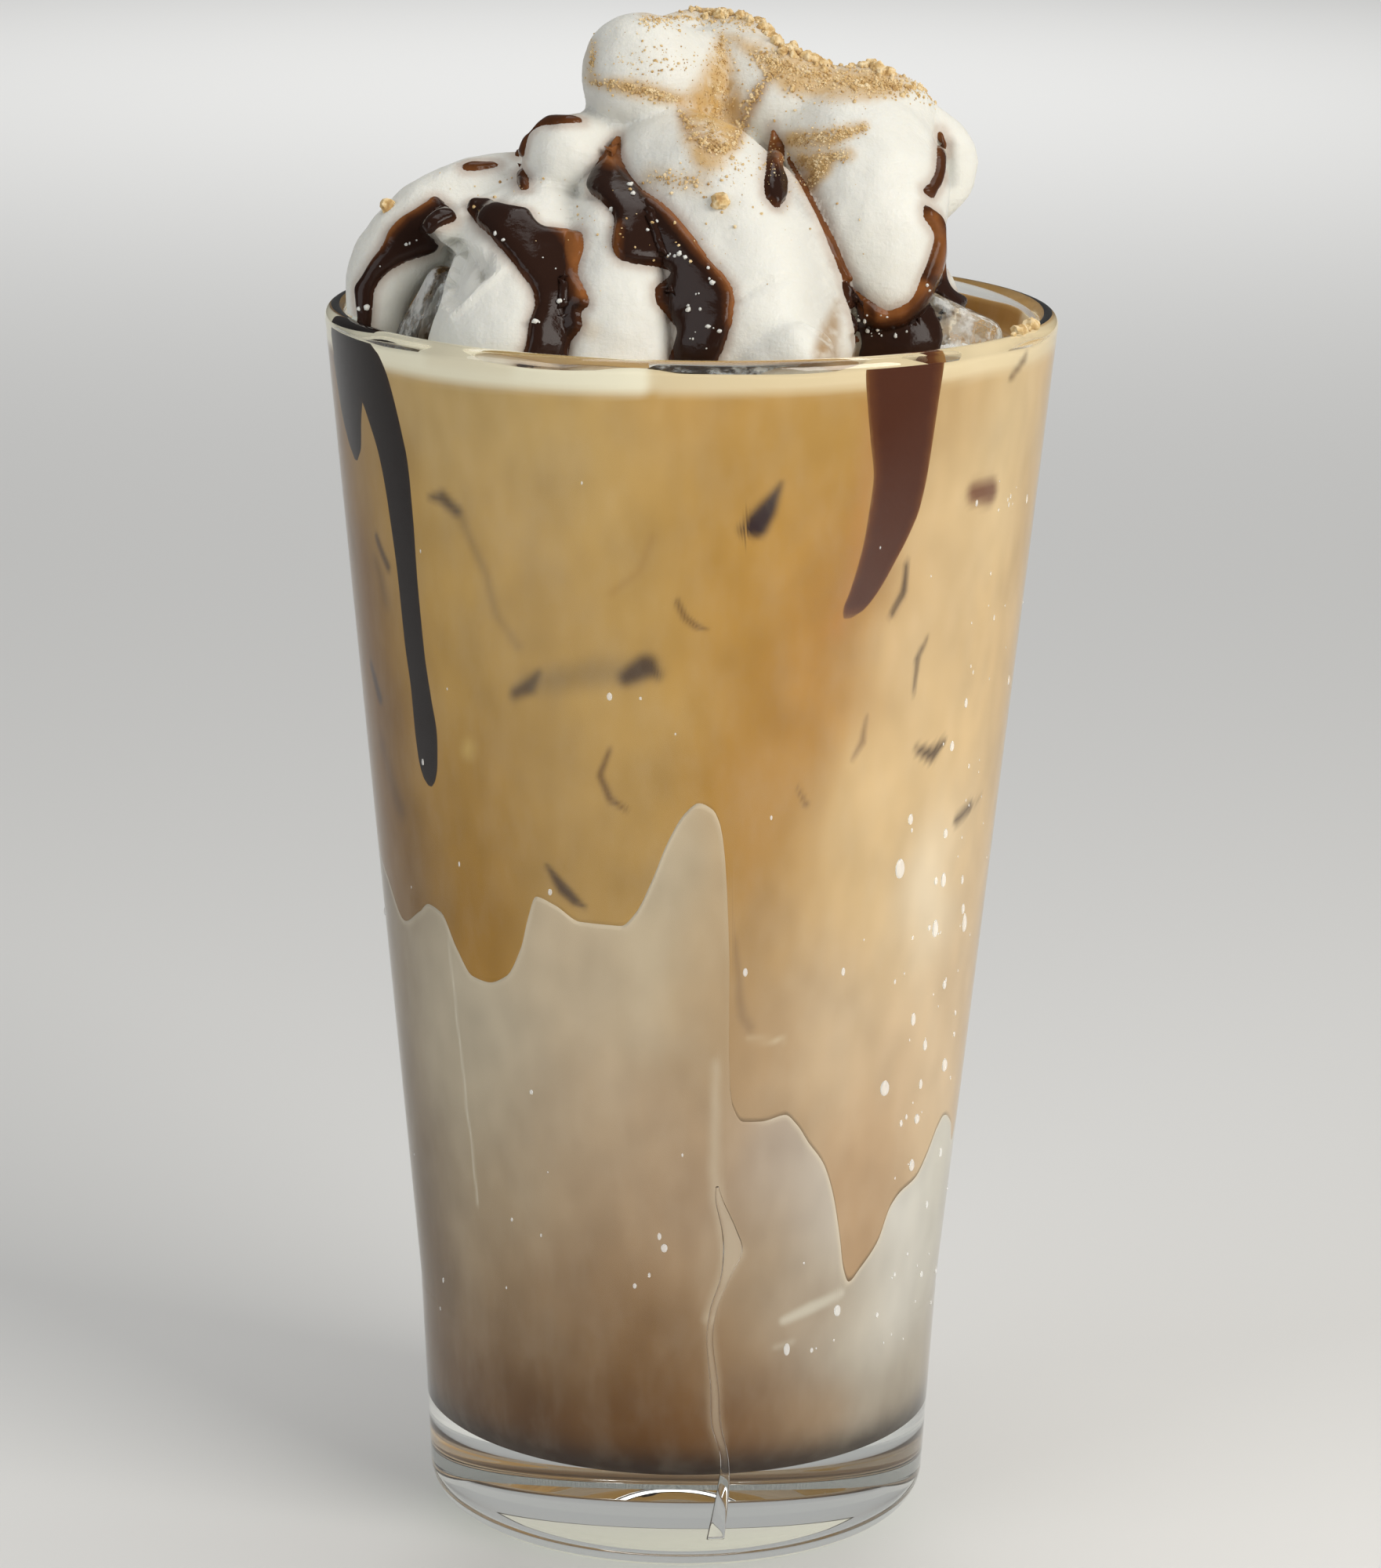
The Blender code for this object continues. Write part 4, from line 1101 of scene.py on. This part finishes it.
# Where the sauce thins out to amber: how much, how softly in mm, and a line seen from the front
AMBER_STROKES = (
    (1, 1.3, (-9.1, 173, 1), (-9.9, 170.2, 1.4), (-9.6, 168.8, 1.2)),
    (
        1, 1.0, (-7.6, 169.5, 0.6), (-5.1, 165.8, 0.7), (-2.3, 163.2, 0.7), (0, 160.4, 0.8), (2, 158, 0.8),
        (4, 155.6, 0.8), (5.2, 153.6, 0.8), (5.3, 150, 0.7),
    ),
    (1, 1.2, (-16.6, 161.2, 0.9), (-14.2, 159.6, 1.5), (-13.6, 156.5, 0.9), (-12.9, 153, 0.7)),
    (1, 1.2, (9.6, 173.2, 0.9), (10.2, 169.4, 1)),
    (0.9, 1.1, (28.6, 163, 0.9), (29.8, 160, 0.8), (29.4, 156.6, 0.9)),
    (1, 1.0, (27.4, 154.8, 1), (24.8, 152.2, 1), (23, 151.6, 0.7)),
    (1, 0.9, (-31.9, 164.2, 0.7), (-34.9, 162.5, 0.8), (-37.4, 159.3, 0.7), (-39.2, 156.8, 0.4)),
    (0.8, 0.8, (-9.2, 161, 0.5), (-9.3, 158, 0.6)),
    (0.7, 0.7, (20, 154, 0.4), (21.6, 151.8, 0.5)),
)


def run_outline(index, waver, rows):
    """The closed outline of a run, its edges smooth curves with a little waver."""
    rows = sorted(rows)
    levels = np.arange(rows[0][0], rows[-1][0], ROW_STEP)
    edges = []
    for part in (1, 2):
        edge = curve_through([(row[0], row[part]) for row in rows], levels)
        drift = [noise.noise(Vector((z * 0.45, index * 7.3, part * 3.1))) for z in levels]
        edges.append(np.column_stack([edge + waver * np.array(drift), levels]))
    return np.concatenate([edges[0], edges[1][::-1]])


def inside_by(outline, across, height):
    """How far each spot lies inside an outline, and less than nothing where it lies outside."""
    gap = np.full(len(across), 1e3)
    inside = np.zeros(len(across), bool)
    for (x0, z0), (x1, z1) in zip(outline, np.roll(outline, -1, axis=0)):
        length = max((x1 - x0) ** 2 + (z1 - z0) ** 2, 1e-9)
        t = np.clip(((across - x0) * (x1 - x0) + (height - z0) * (z1 - z0)) / length, 0, 1)
        gap = np.minimum(gap, np.hypot(across - x0 - t * (x1 - x0), height - z0 - t * (z1 - z0)))
        if z0 != z1:
            crossing = x0 + (height - z0) * (x1 - x0) / (z1 - z0)
            inside ^= ((z0 > height) != (z1 > height)) & (across < crossing)
    return np.where(inside, gap, -gap)


def sauce_depths(spots):
    """How far inside the nearest run each spot of the cream lies, and how thick the sauce is there."""
    depth, thick = np.full(len(spots), -9.0), np.ones(len(spots))
    for index, (side, thickness, waver, *rows) in enumerate(SAUCE_RUNS):
        across, height = seen(side, spots)
        outline = run_outline(index, waver, rows)
        low, high = outline.min(axis=0) - 2, outline.max(axis=0) + 2
        spread = np.column_stack([across, height])
        near = np.flatnonzero(((spread > low) & (spread < high)).all(axis=1))
        inside = inside_by(outline, across[near], height[near])
        near, inside = near[inside > -SAUCE_MARGIN], inside[inside > -SAUCE_MARGIN]
        hidden = np.isin(near, in_sight(cream_skin, side, spots, near, SAUCE_WRAP), invert=True)
        inside[hidden] = -SAUCE_MARGIN
        better = inside > depth[near]
        depth[near[better]] = inside[better]
        thick[near[better]] = thickness
    return depth, thick


def smoothed(bm, steps, verts):
    for _ in range(steps):
        bmesh.ops.smooth_vert(bm, verts=verts, factor=0.5, use_axis_x=True, use_axis_y=True, use_axis_z=True)
    bm.normal_update()


def lay_sauce():
    """Sauce over the cream: a copy of its skin inside the runs, raised there and sunk outside them."""
    bm = bmesh.new()
    bm.from_mesh(cream.data)
    depth, _ = sauce_depths(np.array([v.co for v in bm.verts]))
    outside = [v for v, d in zip(bm.verts, depth) if d < -0.9 * SAUCE_MARGIN]
    bmesh.ops.delete(bm, geom=outside, context="VERTS")
    bmesh.ops.subdivide_edges(bm, edges=bm.edges[:], cuts=1, use_grid_fill=True)
    bmesh.ops.triangulate(bm, faces=bm.faces[:])
    smoothed(bm, SAUCE_SMOOTHING, bm.verts[:])
    spots = np.array([v.co for v in bm.verts])
    depth, thick = sauce_depths(spots)
    ends = np.array([[v.index for v in e.verts] for e in bm.edges])
    for _ in range(3):
        total, count = np.zeros(len(depth)), np.zeros(len(depth))
        for a, b in ((0, 1), (1, 0)):
            np.add.at(total, ends[:, a], depth[ends[:, b]])
            np.add.at(count, ends[:, a], 1)
        depth = 0.5 * depth + 0.5 * total / np.maximum(count, 1)
    rise = np.clip(depth / SAUCE_EDGE, 0, 1)
    lift = (thick + 0.25) * np.sqrt(rise * (2 - rise)) + 0.5 * np.clip(depth, -SAUCE_MARGIN, 0)
    across, height = seen(0, spots)
    amber = 0.9 * soft_share(warped(spots, 90, 3, 8) + 1.2, 0.8) * (spots[:, 1] > AMBER_BEHIND)
    for strength, softness, *line in AMBER_STROKES:
        stroke = strength * soft_share(gap_to_line(line, across, height), softness)
        amber = np.maximum(amber, stroke * (spots[:, 1] < AMBER_BEHIND))
    uneven = np.clip(0.5 + warped(spots, 160, 1.2, 12), 0, 1)
    edge = np.clip(depth / THIN_EDGE, 0, 1)
    shade = (0.5 + 0.35 * uneven + (0.5 - 0.35 * uneven) * edge) * np.clip(thick / 0.8, 0, 1) * (1 - amber)
    for v, push in zip(bm.verts, lift):
        v.co += v.normal * push * MM
    smoothed(bm, SAUCE_SMOOTHING, [v for v, d in zip(bm.verts, depth) if d > 0.5])
    mark = bm.verts.layers.float.new("depth")
    for v, value in zip(bm.verts, shade):
        v[mark] = value
    drop_sunk_scraps(bm, depth)
    made = from_bmesh("chocolate_sauce", bm)
    thin = made.modifiers.new("fewer", "DECIMATE")
    thin.ratio = SAUCE_KEPT
    thicken = made.modifiers.new("body", "SOLIDIFY")
    thicken.thickness = SAUCE_SUNK
    thicken.offset = -1
    return as_evaluated(made), spots[np.abs(depth) < STAIN_MARGIN]


def drop_sunk_scraps(bm, depth):
    """Drops the bits of sauce that never come out of the cream."""
    left = set(bm.verts)
    scraps = []
    while left:
        group, edge = [], [left.pop()]
        while edge:
            v = edge.pop()
            group.append(v)
            for e in v.link_edges:
                other = e.other_vert(v)
                if other in left:
                    left.discard(other)
                    edge.append(other)
        if len(group) < SCRAP_LEAST or max(depth[v.index] for v in group) < SCRAP_DEPTH:
            scraps += group
    bmesh.ops.delete(bm, geom=scraps, context="VERTS")


sauce, sauce_edges = lay_sauce()
sauce.data.materials.append(syrup_finish("chocolate sauce", *SAUCE_TONES, 0.12))
joined_to_drink(sauce, "coffee", "whipped_cream")


# Biscuit crumbs: golden crumbs and dust sprinkled over the top, thick in the groove beside the ball
# and along the ridge, and a few that fell on the rim.
CRUMB_TONES = ((0.0, (0.40, 0.23, 0.08)), (0.4, (0.62, 0.43, 0.19)), (1.0, (0.82, 0.68, 0.44)))
# Side, how many, the range of size in mm, then a line of places, each with a half width
CRUMB_STROKES = (
    (0, 900, 0.06, 0.2, (3.2, 184.6, 0.4), (3, 180.4, 1.8), (2.5, 176.6, 3), (2.2, 173.4, 3.2),
     (2, 171.4, 2)),
    (0, 300, 0.08, 0.3, (-1.6, 175.6, 0.5), (0, 172.8, 0.8), (2.4, 170.9, 0.7), (4.4, 171.2, 0.6)),
    (0, 300, 0.08, 0.3, (9.6, 181, 0.7), (7.4, 177.8, 0.8), (5.8, 174, 0.8), (4.7, 171.4, 0.6)),
    (0, 1500, 0.06, 0.24, (7.4, 182.4, 1), (11.6, 180.6, 2.2), (16.3, 179.6, 2), (21, 179.4, 1.8),
     (24.6, 179, 1)),
    (0, 240, 0.3, 0.85, (8, 185.6, 0.3), (10.8, 183.2, 0.4), (15.5, 181.4, 0.4), (20.2, 181.6, 0.4),
     (24, 180.2, 0.3)),
    (0, 500, 0.06, 0.2, (11.9, 172.2, 0.9), (16.4, 172.6, 1.1), (20.7, 173.9, 0.5)),
    (0, 500, 0.06, 0.2, (13.2, 170, 0.9), (15.4, 168.9, 1.2), (13.8, 167, 0.6)),
    (0, 220, 0.06, 0.2, (15, 170, 0.6), (18.6, 170.4, 0.7)),
    (0, 420, 0.06, 0.24, (-12.2, 178.9, 0.6), (-6.2, 178, 1), (-2, 177, 0.6)),
    (0, 90, 0.06, 0.22, (-12.4, 183.4, 0.4), (-12.4, 180, 0.5)),
    (0, 200, 0.25, 0.75, (-6.6, 187.2, 0.4), (-1, 188, 0.5), (3, 187.2, 0.5), (7, 187, 0.4),
     (8.6, 185.6, 0.4)),
    (0, 500, 0.06, 0.24, (-6.6, 186.4, 0.8), (-1, 186.8, 1.2), (7, 186, 1.2)),
    (0, 110, 0.08, 0.26, (-5.3, 167.7, 1), (0.8, 166.8, 1.2)),
    (0, 160, 0.06, 0.2, (-10, 182, 4), (0, 181, 4)),
    (0, 260, 0.06, 0.22, (2, 167, 5), (16, 172, 6)),
    (0, 60, 0.08, 0.3, (-30, 166, 3), (-16, 165, 4), (-8, 160, 5), (20, 160, 6)),
    (0, 1, 1.0, 1.1, (3.2, 164.6, 0), (3.3, 164.6, 0)),
    (0, 1, 1.0, 1.1, (-36.9, 163.4, 0), (-36.8, 163.4, 0)),
    (75, 330, 0.1, 0.4, (-6, 178, 1.5), (8, 175, 1.5)),
    (130, 300, 0.1, 0.4, (-8, 177, 1.5), (8, 177, 1.5)),
    (180, 330, 0.1, 0.4, (-8, 178, 1.5), (10, 179, 1.5)),
    (240, 300, 0.1, 0.4, (-6, 177, 1.5), (7, 177, 1.5)),
)
# Flecks of cream on the sauce, across and up, in mm
FLECKS = (
    (-16, 152.8), (-7.4, 166), (-9.4, 163.3), (-4.6, 161.7), (-1, 158.4), (-2.8, 157.9), (0.5, 154.3),
    (2.8, 155.3), (1.9, 156.3), (2.7, 149.4), (-0.6, 151.5), (1, 151.6), (0.2, 147.9), (0.9, 149.1),
    (1.9, 146.9), (-37.6, 156.2), (-40, 151), (-33.8, 159), (-18.6, 150.1), (-16.9, 156.4), (-19.3, 157.9),
    (-23.7, 159.9), (21.4, 151.2), (23.5, 150.8), (23, 148.9), (20.3, 150.5), (21.5, 149.6), (21.9, 148.6),
    (25.6, 148.6), (28.9, 154.6), (29.6, 162.2),
)
# Crumbs on the rim: degrees from the front and size in mm
RIM_CRUMBS = ((64, 0.9), (67, 0.55), (69.5, 1.0), (71, 0.6), (73, 0.4), (61, 0.35))
# From this size on, in mm, a crumb has a finer mesh
GRAIN_ABOVE = 0.4


def facing_out(made):
    bm = bmesh.new()
    bm.from_mesh(made.data)
    bmesh.ops.recalc_face_normals(bm, faces=bm.faces[:])
    bm.to_mesh(made.data)
    bm.free()


def laid(side, across, height):
    """Where the line of sight through a spot first meets the cream or the sauce, and the normal there."""
    turn = Matrix.Rotation(math.radians(side), 3, "Z")
    eye = eye_on(side)
    hit, normal, _, _ = topping_skin.ray_cast(eye, turn @ Vector((across * MM, 0, height * MM)) - eye)
    return hit, normal


def crumb_shapes():
    """Every crumb: where it lies and its size."""
    draw = random.Random(SEED)
    for side, count, least, most, *line in CRUMB_STROKES:
        for _ in range(count):
            (x0, z0, w0), (x1, z1, w1) = draw.choice(list(zip(line, line[1:])))
            t, turn = draw.random(), draw.uniform(0, math.tau)
            off = (w0 + (w1 - w0) * t) * draw.gauss(0, 0.75)
            across = x0 + (x1 - x0) * t + off * math.cos(turn)
            hit, normal = laid(side, across, z0 + (z1 - z0) * t + off * math.sin(turn))
            size = (least + (most - least) * draw.random() ** 3) * MM
            if hit is not None and hit.z > GLASS_HEIGHT - 2 * MM:
                yield hit + normal * size * 0.15, size
    for azimuth, size in RIM_CRUMBS:
        turn = math.radians(azimuth)
        out = RIM_RADIUS - lip * draw.uniform(0.8, 1.2)
        yield Vector((out * math.sin(turn), -out * math.cos(turn), GLASS_HEIGHT + size * MM * 0.4)), size * MM


def crumb_finish():
    made, wire = new_finish("biscuit crumb")
    tone = wire.cloud(900, 3, 0.6).within(0.28, 0.72)
    tint = wire.node("ShaderNodeValToRGB", {"stops": CRUMB_TONES}, {0: tone})
    rough = wire.bump(wire.cloud(5000, 2, 0.6), 0.08 * MM, 0.7)
    surface(wire, wire.principled({"Base Color": tint, "Roughness": 0.82, "Normal": rough}))
    return made


def lumpy(spots, subdivisions, draw):
    """Uneven lumps, one for each spot and size given, as corners and faces."""
    corners, sides = ball_template(subdivisions)
    spots = np.array(spots)
    uneven = 1 + 0.45 * (draw.random((len(spots), len(corners), 1)) - 0.5)
    squash = 0.65 + 0.5 * draw.random((len(spots), 1, 3))
    spun = corners @ np.linalg.qr(draw.normal(size=(len(spots), 3, 3)))[0]
    points = (spun * uneven * squash * spots[:, None, 3:] + spots[:, None, :3]).reshape(-1, 3)
    return points, ball_faces(corners, sides, len(spots))


topping_skin = skin_of(cream, sauce)
shapes = [(*spot, size) for spot, size in crumb_shapes()]
shapes = [(x, y, min(z, cad_box[1][2] - size), size) for x, y, z, size in shapes]
draw = np.random.default_rng(SEED)
dust, dust_faces = lumpy([shape for shape in shapes if shape[3] < GRAIN_ABOVE * MM], 1, draw)
grains, grain_faces = lumpy([shape for shape in shapes if shape[3] >= GRAIN_ABOVE * MM], 2, draw)
points, faces = np.concatenate([dust, grains]), np.concatenate([dust_faces, grain_faces + len(dust)])
crumbs = piece("biscuit_crumbs", points, faces.tolist(), crumb_finish(), "cream", "whipped_cream")
facing_out(crumbs)
crumbs.data.shade_flat()

flecks = []
for across, height in FLECKS:
    for _ in range(draw.integers(1, 4)):
        hit, normal = laid(0, across + draw.normal(0, 0.45), height + draw.normal(0, 0.45))
        if hit is not None:
            flecks.append((*hit, (0.1 + 0.32 * draw.random() ** 2) * MM))
points, faces = lumpy(flecks, 2, draw)
cream_flecks = piece("cream_flecks", points, faces.tolist(), cream_material, "cream", "whipped_cream")
facing_out(cream_flecks)


# The stains on the cream: golden under the crumbs, amber beside the sauce, and pale coffee where it meets the
# drink.
# The grey in its folds, in its curl and on the left of the top ball is painted shade.
CREAM_WHITE = (222, 221, 213)
GOLD, DEEP_GOLD, AMBER, COFFEE_STAIN = (198, 160, 98), (160, 116, 60), (140, 90, 46), (200, 174, 132)
PAINTED_SHADE = (188, 187, 182)
# Golden dust, and painted shade in hollows and on shaded sides: how strong, how soft in mm, the colour, and a
# line seen from the front
CREAM_TOUCHES = (
    (1, 1.2, GOLD, (3.2, 184.6, 0.4), (3, 180.4, 1.8), (2.5, 176.6, 3.2), (2.2, 173.4, 3.8), (2, 171, 2.6)),
    (0.9, 0.8, DEEP_GOLD, (-1.8, 175.6, 0.5), (-0.2, 172.9, 0.9), (2.4, 171, 0.7), (3.4, 171.2, 0.3)),
    (0.8, 0.8, DEEP_GOLD, (9.6, 180.6, 0.5), (7.6, 177.8, 0.8), (6, 174.4, 0.8), (5, 172, 0.5)),
    (0.9, 1.0, GOLD, (4.6, 184.4, 0.5), (8.4, 182, 1.2), (11.6, 180.2, 2.4), (16.3, 179.3, 2.3),
     (21, 179.2, 2)),
    (0.8, 1.0, GOLD, (21, 179.2, 2), (24.6, 179.2, 1.4)),
    (0.5, 1.2, GOLD, (6, 186.6, 0.6), (9.8, 183.6, 0.9), (12.8, 182, 0.7)),
    (1, 0.8, GOLD, (11.6, 172.2, 1), (16.4, 172.6, 1.2), (20.4, 174, 0.5)),
    (1, 0.8, GOLD, (13, 170, 1), (15.4, 169, 1.3), (13.8, 166.8, 0.9)),
    (0.9, 0.8, GOLD, (15, 170, 0.8), (18.6, 170.6, 0.8)),
    (1, 0.9, GOLD, (-12.2, 179, 0.6), (-6.4, 178, 1.1), (-1.6, 176.8, 0.7)),
    (0.8, 1.0, GOLD, (-12.4, 183.4, 0.4), (-12.6, 179.6, 0.6)),
    (0.8, 1.2, GOLD, (-6, 187.6, 0.6), (0, 188.2, 1.2), (6, 187, 1)),
    (0.5, 1.4, GOLD, (-5.3, 167.7, 1), (0.8, 166.8, 1.2)),
    # Painted shade: grey on the pleat's facet, in the folds of the arch, in the curl at the right and on the
    # left of the top ball
    (0.5, 2.4, PAINTED_SHADE, (11.8, 167, 0.8), (14.4, 160, 1.4), (16.4, 151, 1.6)),
    (0.35, 0.8, (180, 176, 168), (-24.4, 158, 0.5), (-25.6, 156, 1.3)),
    (0.1, 1.6, PAINTED_SHADE, (-28.4, 158, 1.6), (-29.6, 153, 2)),
    (0.7, 0.6, (174, 174, 168), (31, 172, 0.6), (31.2, 167.4, 0.7)),
    (0.35, 2.0, PAINTED_SHADE, (-13, 183, 1.5), (-12, 176, 1.5)),
    (0.9, 0.9, (152, 116, 66), (17.6, 152.6, 0.2), (17, 149.5, 1.1), (16.4, 146.5, 1.5)),
    (0.4, 1, COFFEE_STAIN, (-15, 150.4, 0.6), (-12, 148.6, 1)),
)
AMBER_REACH = 0.7 * MM
spots, normals = arrays_of(cream)
across, height = seen(0, spots)
front = normals[:, 1] < 0.1
tints = np.tile(srgb(CREAM_WHITE), (len(spots), 1))
specks = np.clip(1.05 + warped(spots, 1300, 0.7, 5) + warped(spots, 420, 0.6, 3), 0.45, 1) * front
for strength, softness, colour, *line in CREAM_TOUCHES:
    share = strength * soft_share(gap_to_line(line, across, height), softness) * specks
    tints += share[:, None] * (srgb(colour) - tints)
tree = KDTree(len(sauce_edges))
for index, spot in enumerate(sauce_edges):
    tree.insert(spot, index)
tree.balance()
away = np.array([tree.find(spot)[2] for spot in spots])
stain = 0.4 * np.exp(-((away / AMBER_REACH) ** 2))
tints += stain[:, None] * (srgb(AMBER) - tints)
soak = 0.8 * np.exp(-((np.maximum(spots[:, 2] - DRINK_LEVEL, 0) / (2.2 * MM)) ** 2))
tints += soak[:, None] * (srgb(COFFEE_STAIN) - tints)
paint(cream, "tint", tints)
paint(cream_flecks, "tint", np.tile(srgb(CREAM_WHITE), (len(cream_flecks.data.vertices), 1)))


# Condensation: beads of water on the cold glass, most at the right, and one trail that has run down
# the front. Water bends light like the glass but less.
WATER_IOR = 1.33
# Each drop and each place on the trail: degrees from the front, then height and half width in mm
DROPS = (
    (42, 89, 0.9), (43.5, 95, 0.5), (54, 92, 0.5), (55, 86, 0.6), (54, 80, 0.7), (66, 79, 0.7),
    (64.5, 81, 0.5), (43.5, 61, 0.9), (64.5, 61, 0.8), (55, 55.5, 0.6), (55, 49.5, 0.6), (50, 69, 0.5),
    (55, 65, 0.5), (55, 60, 0.4), (53, 103, 0.5), (56, 108, 0.4), (36, 33, 0.6), (24, 29, 0.5),
    (-3, 43, 0.5), (-4, 44.5, 0.3), (60, 72, 0.5),
)
TRAIL = (
    (7.4, 51, 0.15), (8, 49, 0.5), (10, 45.5, 0.9), (11, 42.5, 1.2), (9.6, 39, 0.6), (7.4, 35, 0.45),
    (6.8, 31, 0.4), (8, 25, 0.5), (8.6, 20, 0.6), (10.6, 15.5, 0.5), (10.4, 11, 0.8), (9, 5, 1.1),
)
SCATTERED_DROPS = 150
water = clear_finish("water", (1, 1, 1, 1), WATER_IOR, 1.0)
# The beads let only part of the light through and show white for the rest: a painted highlight that stands in
# for their glints
beads = clear_finish("beads of water", (1, 1, 1, 1), WATER_IOR, 0.7)


def foot_radius(z):
    """The glass's outer radius at a height above its rounded foot."""
    if z > KNEE_HEIGHT:
        return outer_radius(z)
    return FOOT_RADIUS + (KNEE_RADIUS - FOOT_RADIUS) * z / KNEE_HEIGHT


def on_wall(azimuth, height):
    turn = math.radians(azimuth)
    radius = foot_radius(height * MM)
    return Vector((radius * math.sin(turn), -radius * math.cos(turn), height * MM))


draw = random.Random(SEED)
drops = list(DROPS)
for _ in range(SCATTERED_DROPS):
    azimuth = draw.choice((draw.gauss(58, 12), draw.uniform(-180, 180)))
    drops.append((azimuth, draw.uniform(26, 138), 0.12 + 0.3 * draw.random() ** 3))
corners, sides = ball_template(3)
points = []
for azimuth, height, size in drops:
    turn = math.radians(azimuth)
    sideways = Vector((math.cos(turn), math.sin(turn), 0)) * size * 0.8
    outward = Vector((math.sin(turn), -math.cos(turn), 0)) * size * 0.42
    upward = Vector((0, 0, size * draw.uniform(1, 1.7)))
    points.append(corners @ (np.array([sideways, outward, upward]) * MM) + np.array(on_wall(azimuth, height)))
faces = ball_faces(corners, sides, len(drops)).tolist()
condensation = piece("water_drops", np.concatenate(points), faces, beads, "clear_glass")
facing_out(condensation)

path = smooth_path([(a, z, 0, w) for a, z, w in TRAIL[::-1]], 0.5)
rings = []
around = np.linspace(0, math.tau, 16, endpoint=False)
for azimuth, height, _, half in path:
    turn = math.radians(azimuth)
    middle = np.array(on_wall(azimuth, height))
    wide = np.array((math.cos(turn), math.sin(turn), 0)) * half * MM
    deep = np.array((math.sin(turn), -math.cos(turn), 0)) * 0.4 * half * MM
    rings.append(middle + np.cos(around)[:, None] * wide - np.sin(around)[:, None] * deep)
points, faces = closed_skin(rings, rings[0].mean(axis=0), rings[-1].mean(axis=0))
trail = piece("water_trail", points, faces, water, "clear_glass")
facing_out(trail)


# The studio: a plain pale floor that runs back as far as the picture shows, a large soft lamp at the
# right front, a weaker one at the left, one above, one that lights the floor far behind, and the
# camera at the photograph's viewing angle.
CAMERA_SPOT = (0, -0.6735, 0.251)
CAMERA_PITCH, CAMERA_YAW, CAMERA_ROLL = (math.radians(a) for a in (13.26, 0.055, 0.787))
LENS, SENSOR = 128.25, 36
NEAREST = 0.01
LAMPS = (
    # name, place, what it is aimed at, size, power in watts, colour
    ("key", (0.50, -0.42, 0.42), (0, 0, 0.1), 0.42, 4.6, (1.0, 0.97, 0.92)),
    ("fill", (-0.62, -0.45, 0.35), (0, 0, 0.1), 0.5, 2.0, (0.95, 0.97, 1.0)),
    ("top", (0.05, 0.15, 0.75), (0, 0, 0.1), 0.4, 1.4, (1.0, 0.99, 0.97)),
    ("backdrop", (0, 1.7, 1.0), (0, 1.5, 0), 0.9, 13, (1.0, 1.0, 1.0)),
)
FLOOR_HALF = 3.0
FLOOR_COLOUR = (0.72, 0.72, 0.71, 1)
# The room's light, and how bright the room shows through clear glass and mirrored in it
ROOM_LIGHT, ROOM_THROUGH_GLASS, ROOM_MIRRORED = 0.22, 0.55, 0.10
ROOM_COLOUR = (0.94, 0.94, 0.93, 1)

scene = bpy.context.scene
forward = Vector((
    math.sin(CAMERA_YAW) * math.cos(CAMERA_PITCH),
    math.cos(CAMERA_YAW) * math.cos(CAMERA_PITCH),
    -math.sin(CAMERA_PITCH),
))
level_right = forward.cross(Vector((0, 0, 1))).normalized()
level_up = level_right.cross(forward)
right = level_right * math.cos(CAMERA_ROLL) + level_up * math.sin(CAMERA_ROLL)
up = level_up * math.cos(CAMERA_ROLL) - level_right * math.sin(CAMERA_ROLL)
camera = placed("camera", bpy.data.cameras.new("camera"))
camera.matrix_world = Matrix.Translation(CAMERA_SPOT) @ Matrix((right, up, -forward)).transposed().to_4x4()
camera.data.sensor_width = SENSOR
camera.data.lens = LENS
camera.data.clip_start = NEAREST
scene.camera = camera

for name, place, aim, size, power, colour in LAMPS:
    lamp = bpy.data.lights.new(name, "AREA")
    lamp.size = size
    lamp.energy = power
    lamp.color = colour
    holder = placed(name, lamp)
    holder.location = place
    holder.visible_transmission = name != "backdrop"
    holder.visible_glossy = name != "backdrop"
    holder.rotation_euler = (Vector(aim) - Vector(place)).to_track_quat("-Z", "Y").to_euler()

world = bpy.data.worlds.new("studio")
world.use_nodes = True
backlight = Wire(world.node_tree, world.node_tree.nodes["Background"].inputs["Strength"])
through = backlight.ray("Transmission") * (ROOM_THROUGH_GLASS - ROOM_LIGHT)
mirrored = backlight.ray("Glossy") * (ROOM_MIRRORED - ROOM_LIGHT)
world.node_tree.links.new((through + mirrored + ROOM_LIGHT).socket, backlight.socket)
world.node_tree.nodes["Background"].inputs["Color"].default_value = ROOM_COLOUR
scene.world = world
scene.view_settings.view_transform = "Standard"

floor_finish, wire = new_finish("pale floor")
surface(wire, wire.principled({"Base Color": FLOOR_COLOUR, "Roughness": 0.7}))
corners = np.array([(-1, -1, 0), (1, -1, 0), (1, 1, 0), (-1, 1, 0)]) * FLOOR_HALF
floor = shell("floor", corners, [(0, 1, 2, 3)], floor_finish)
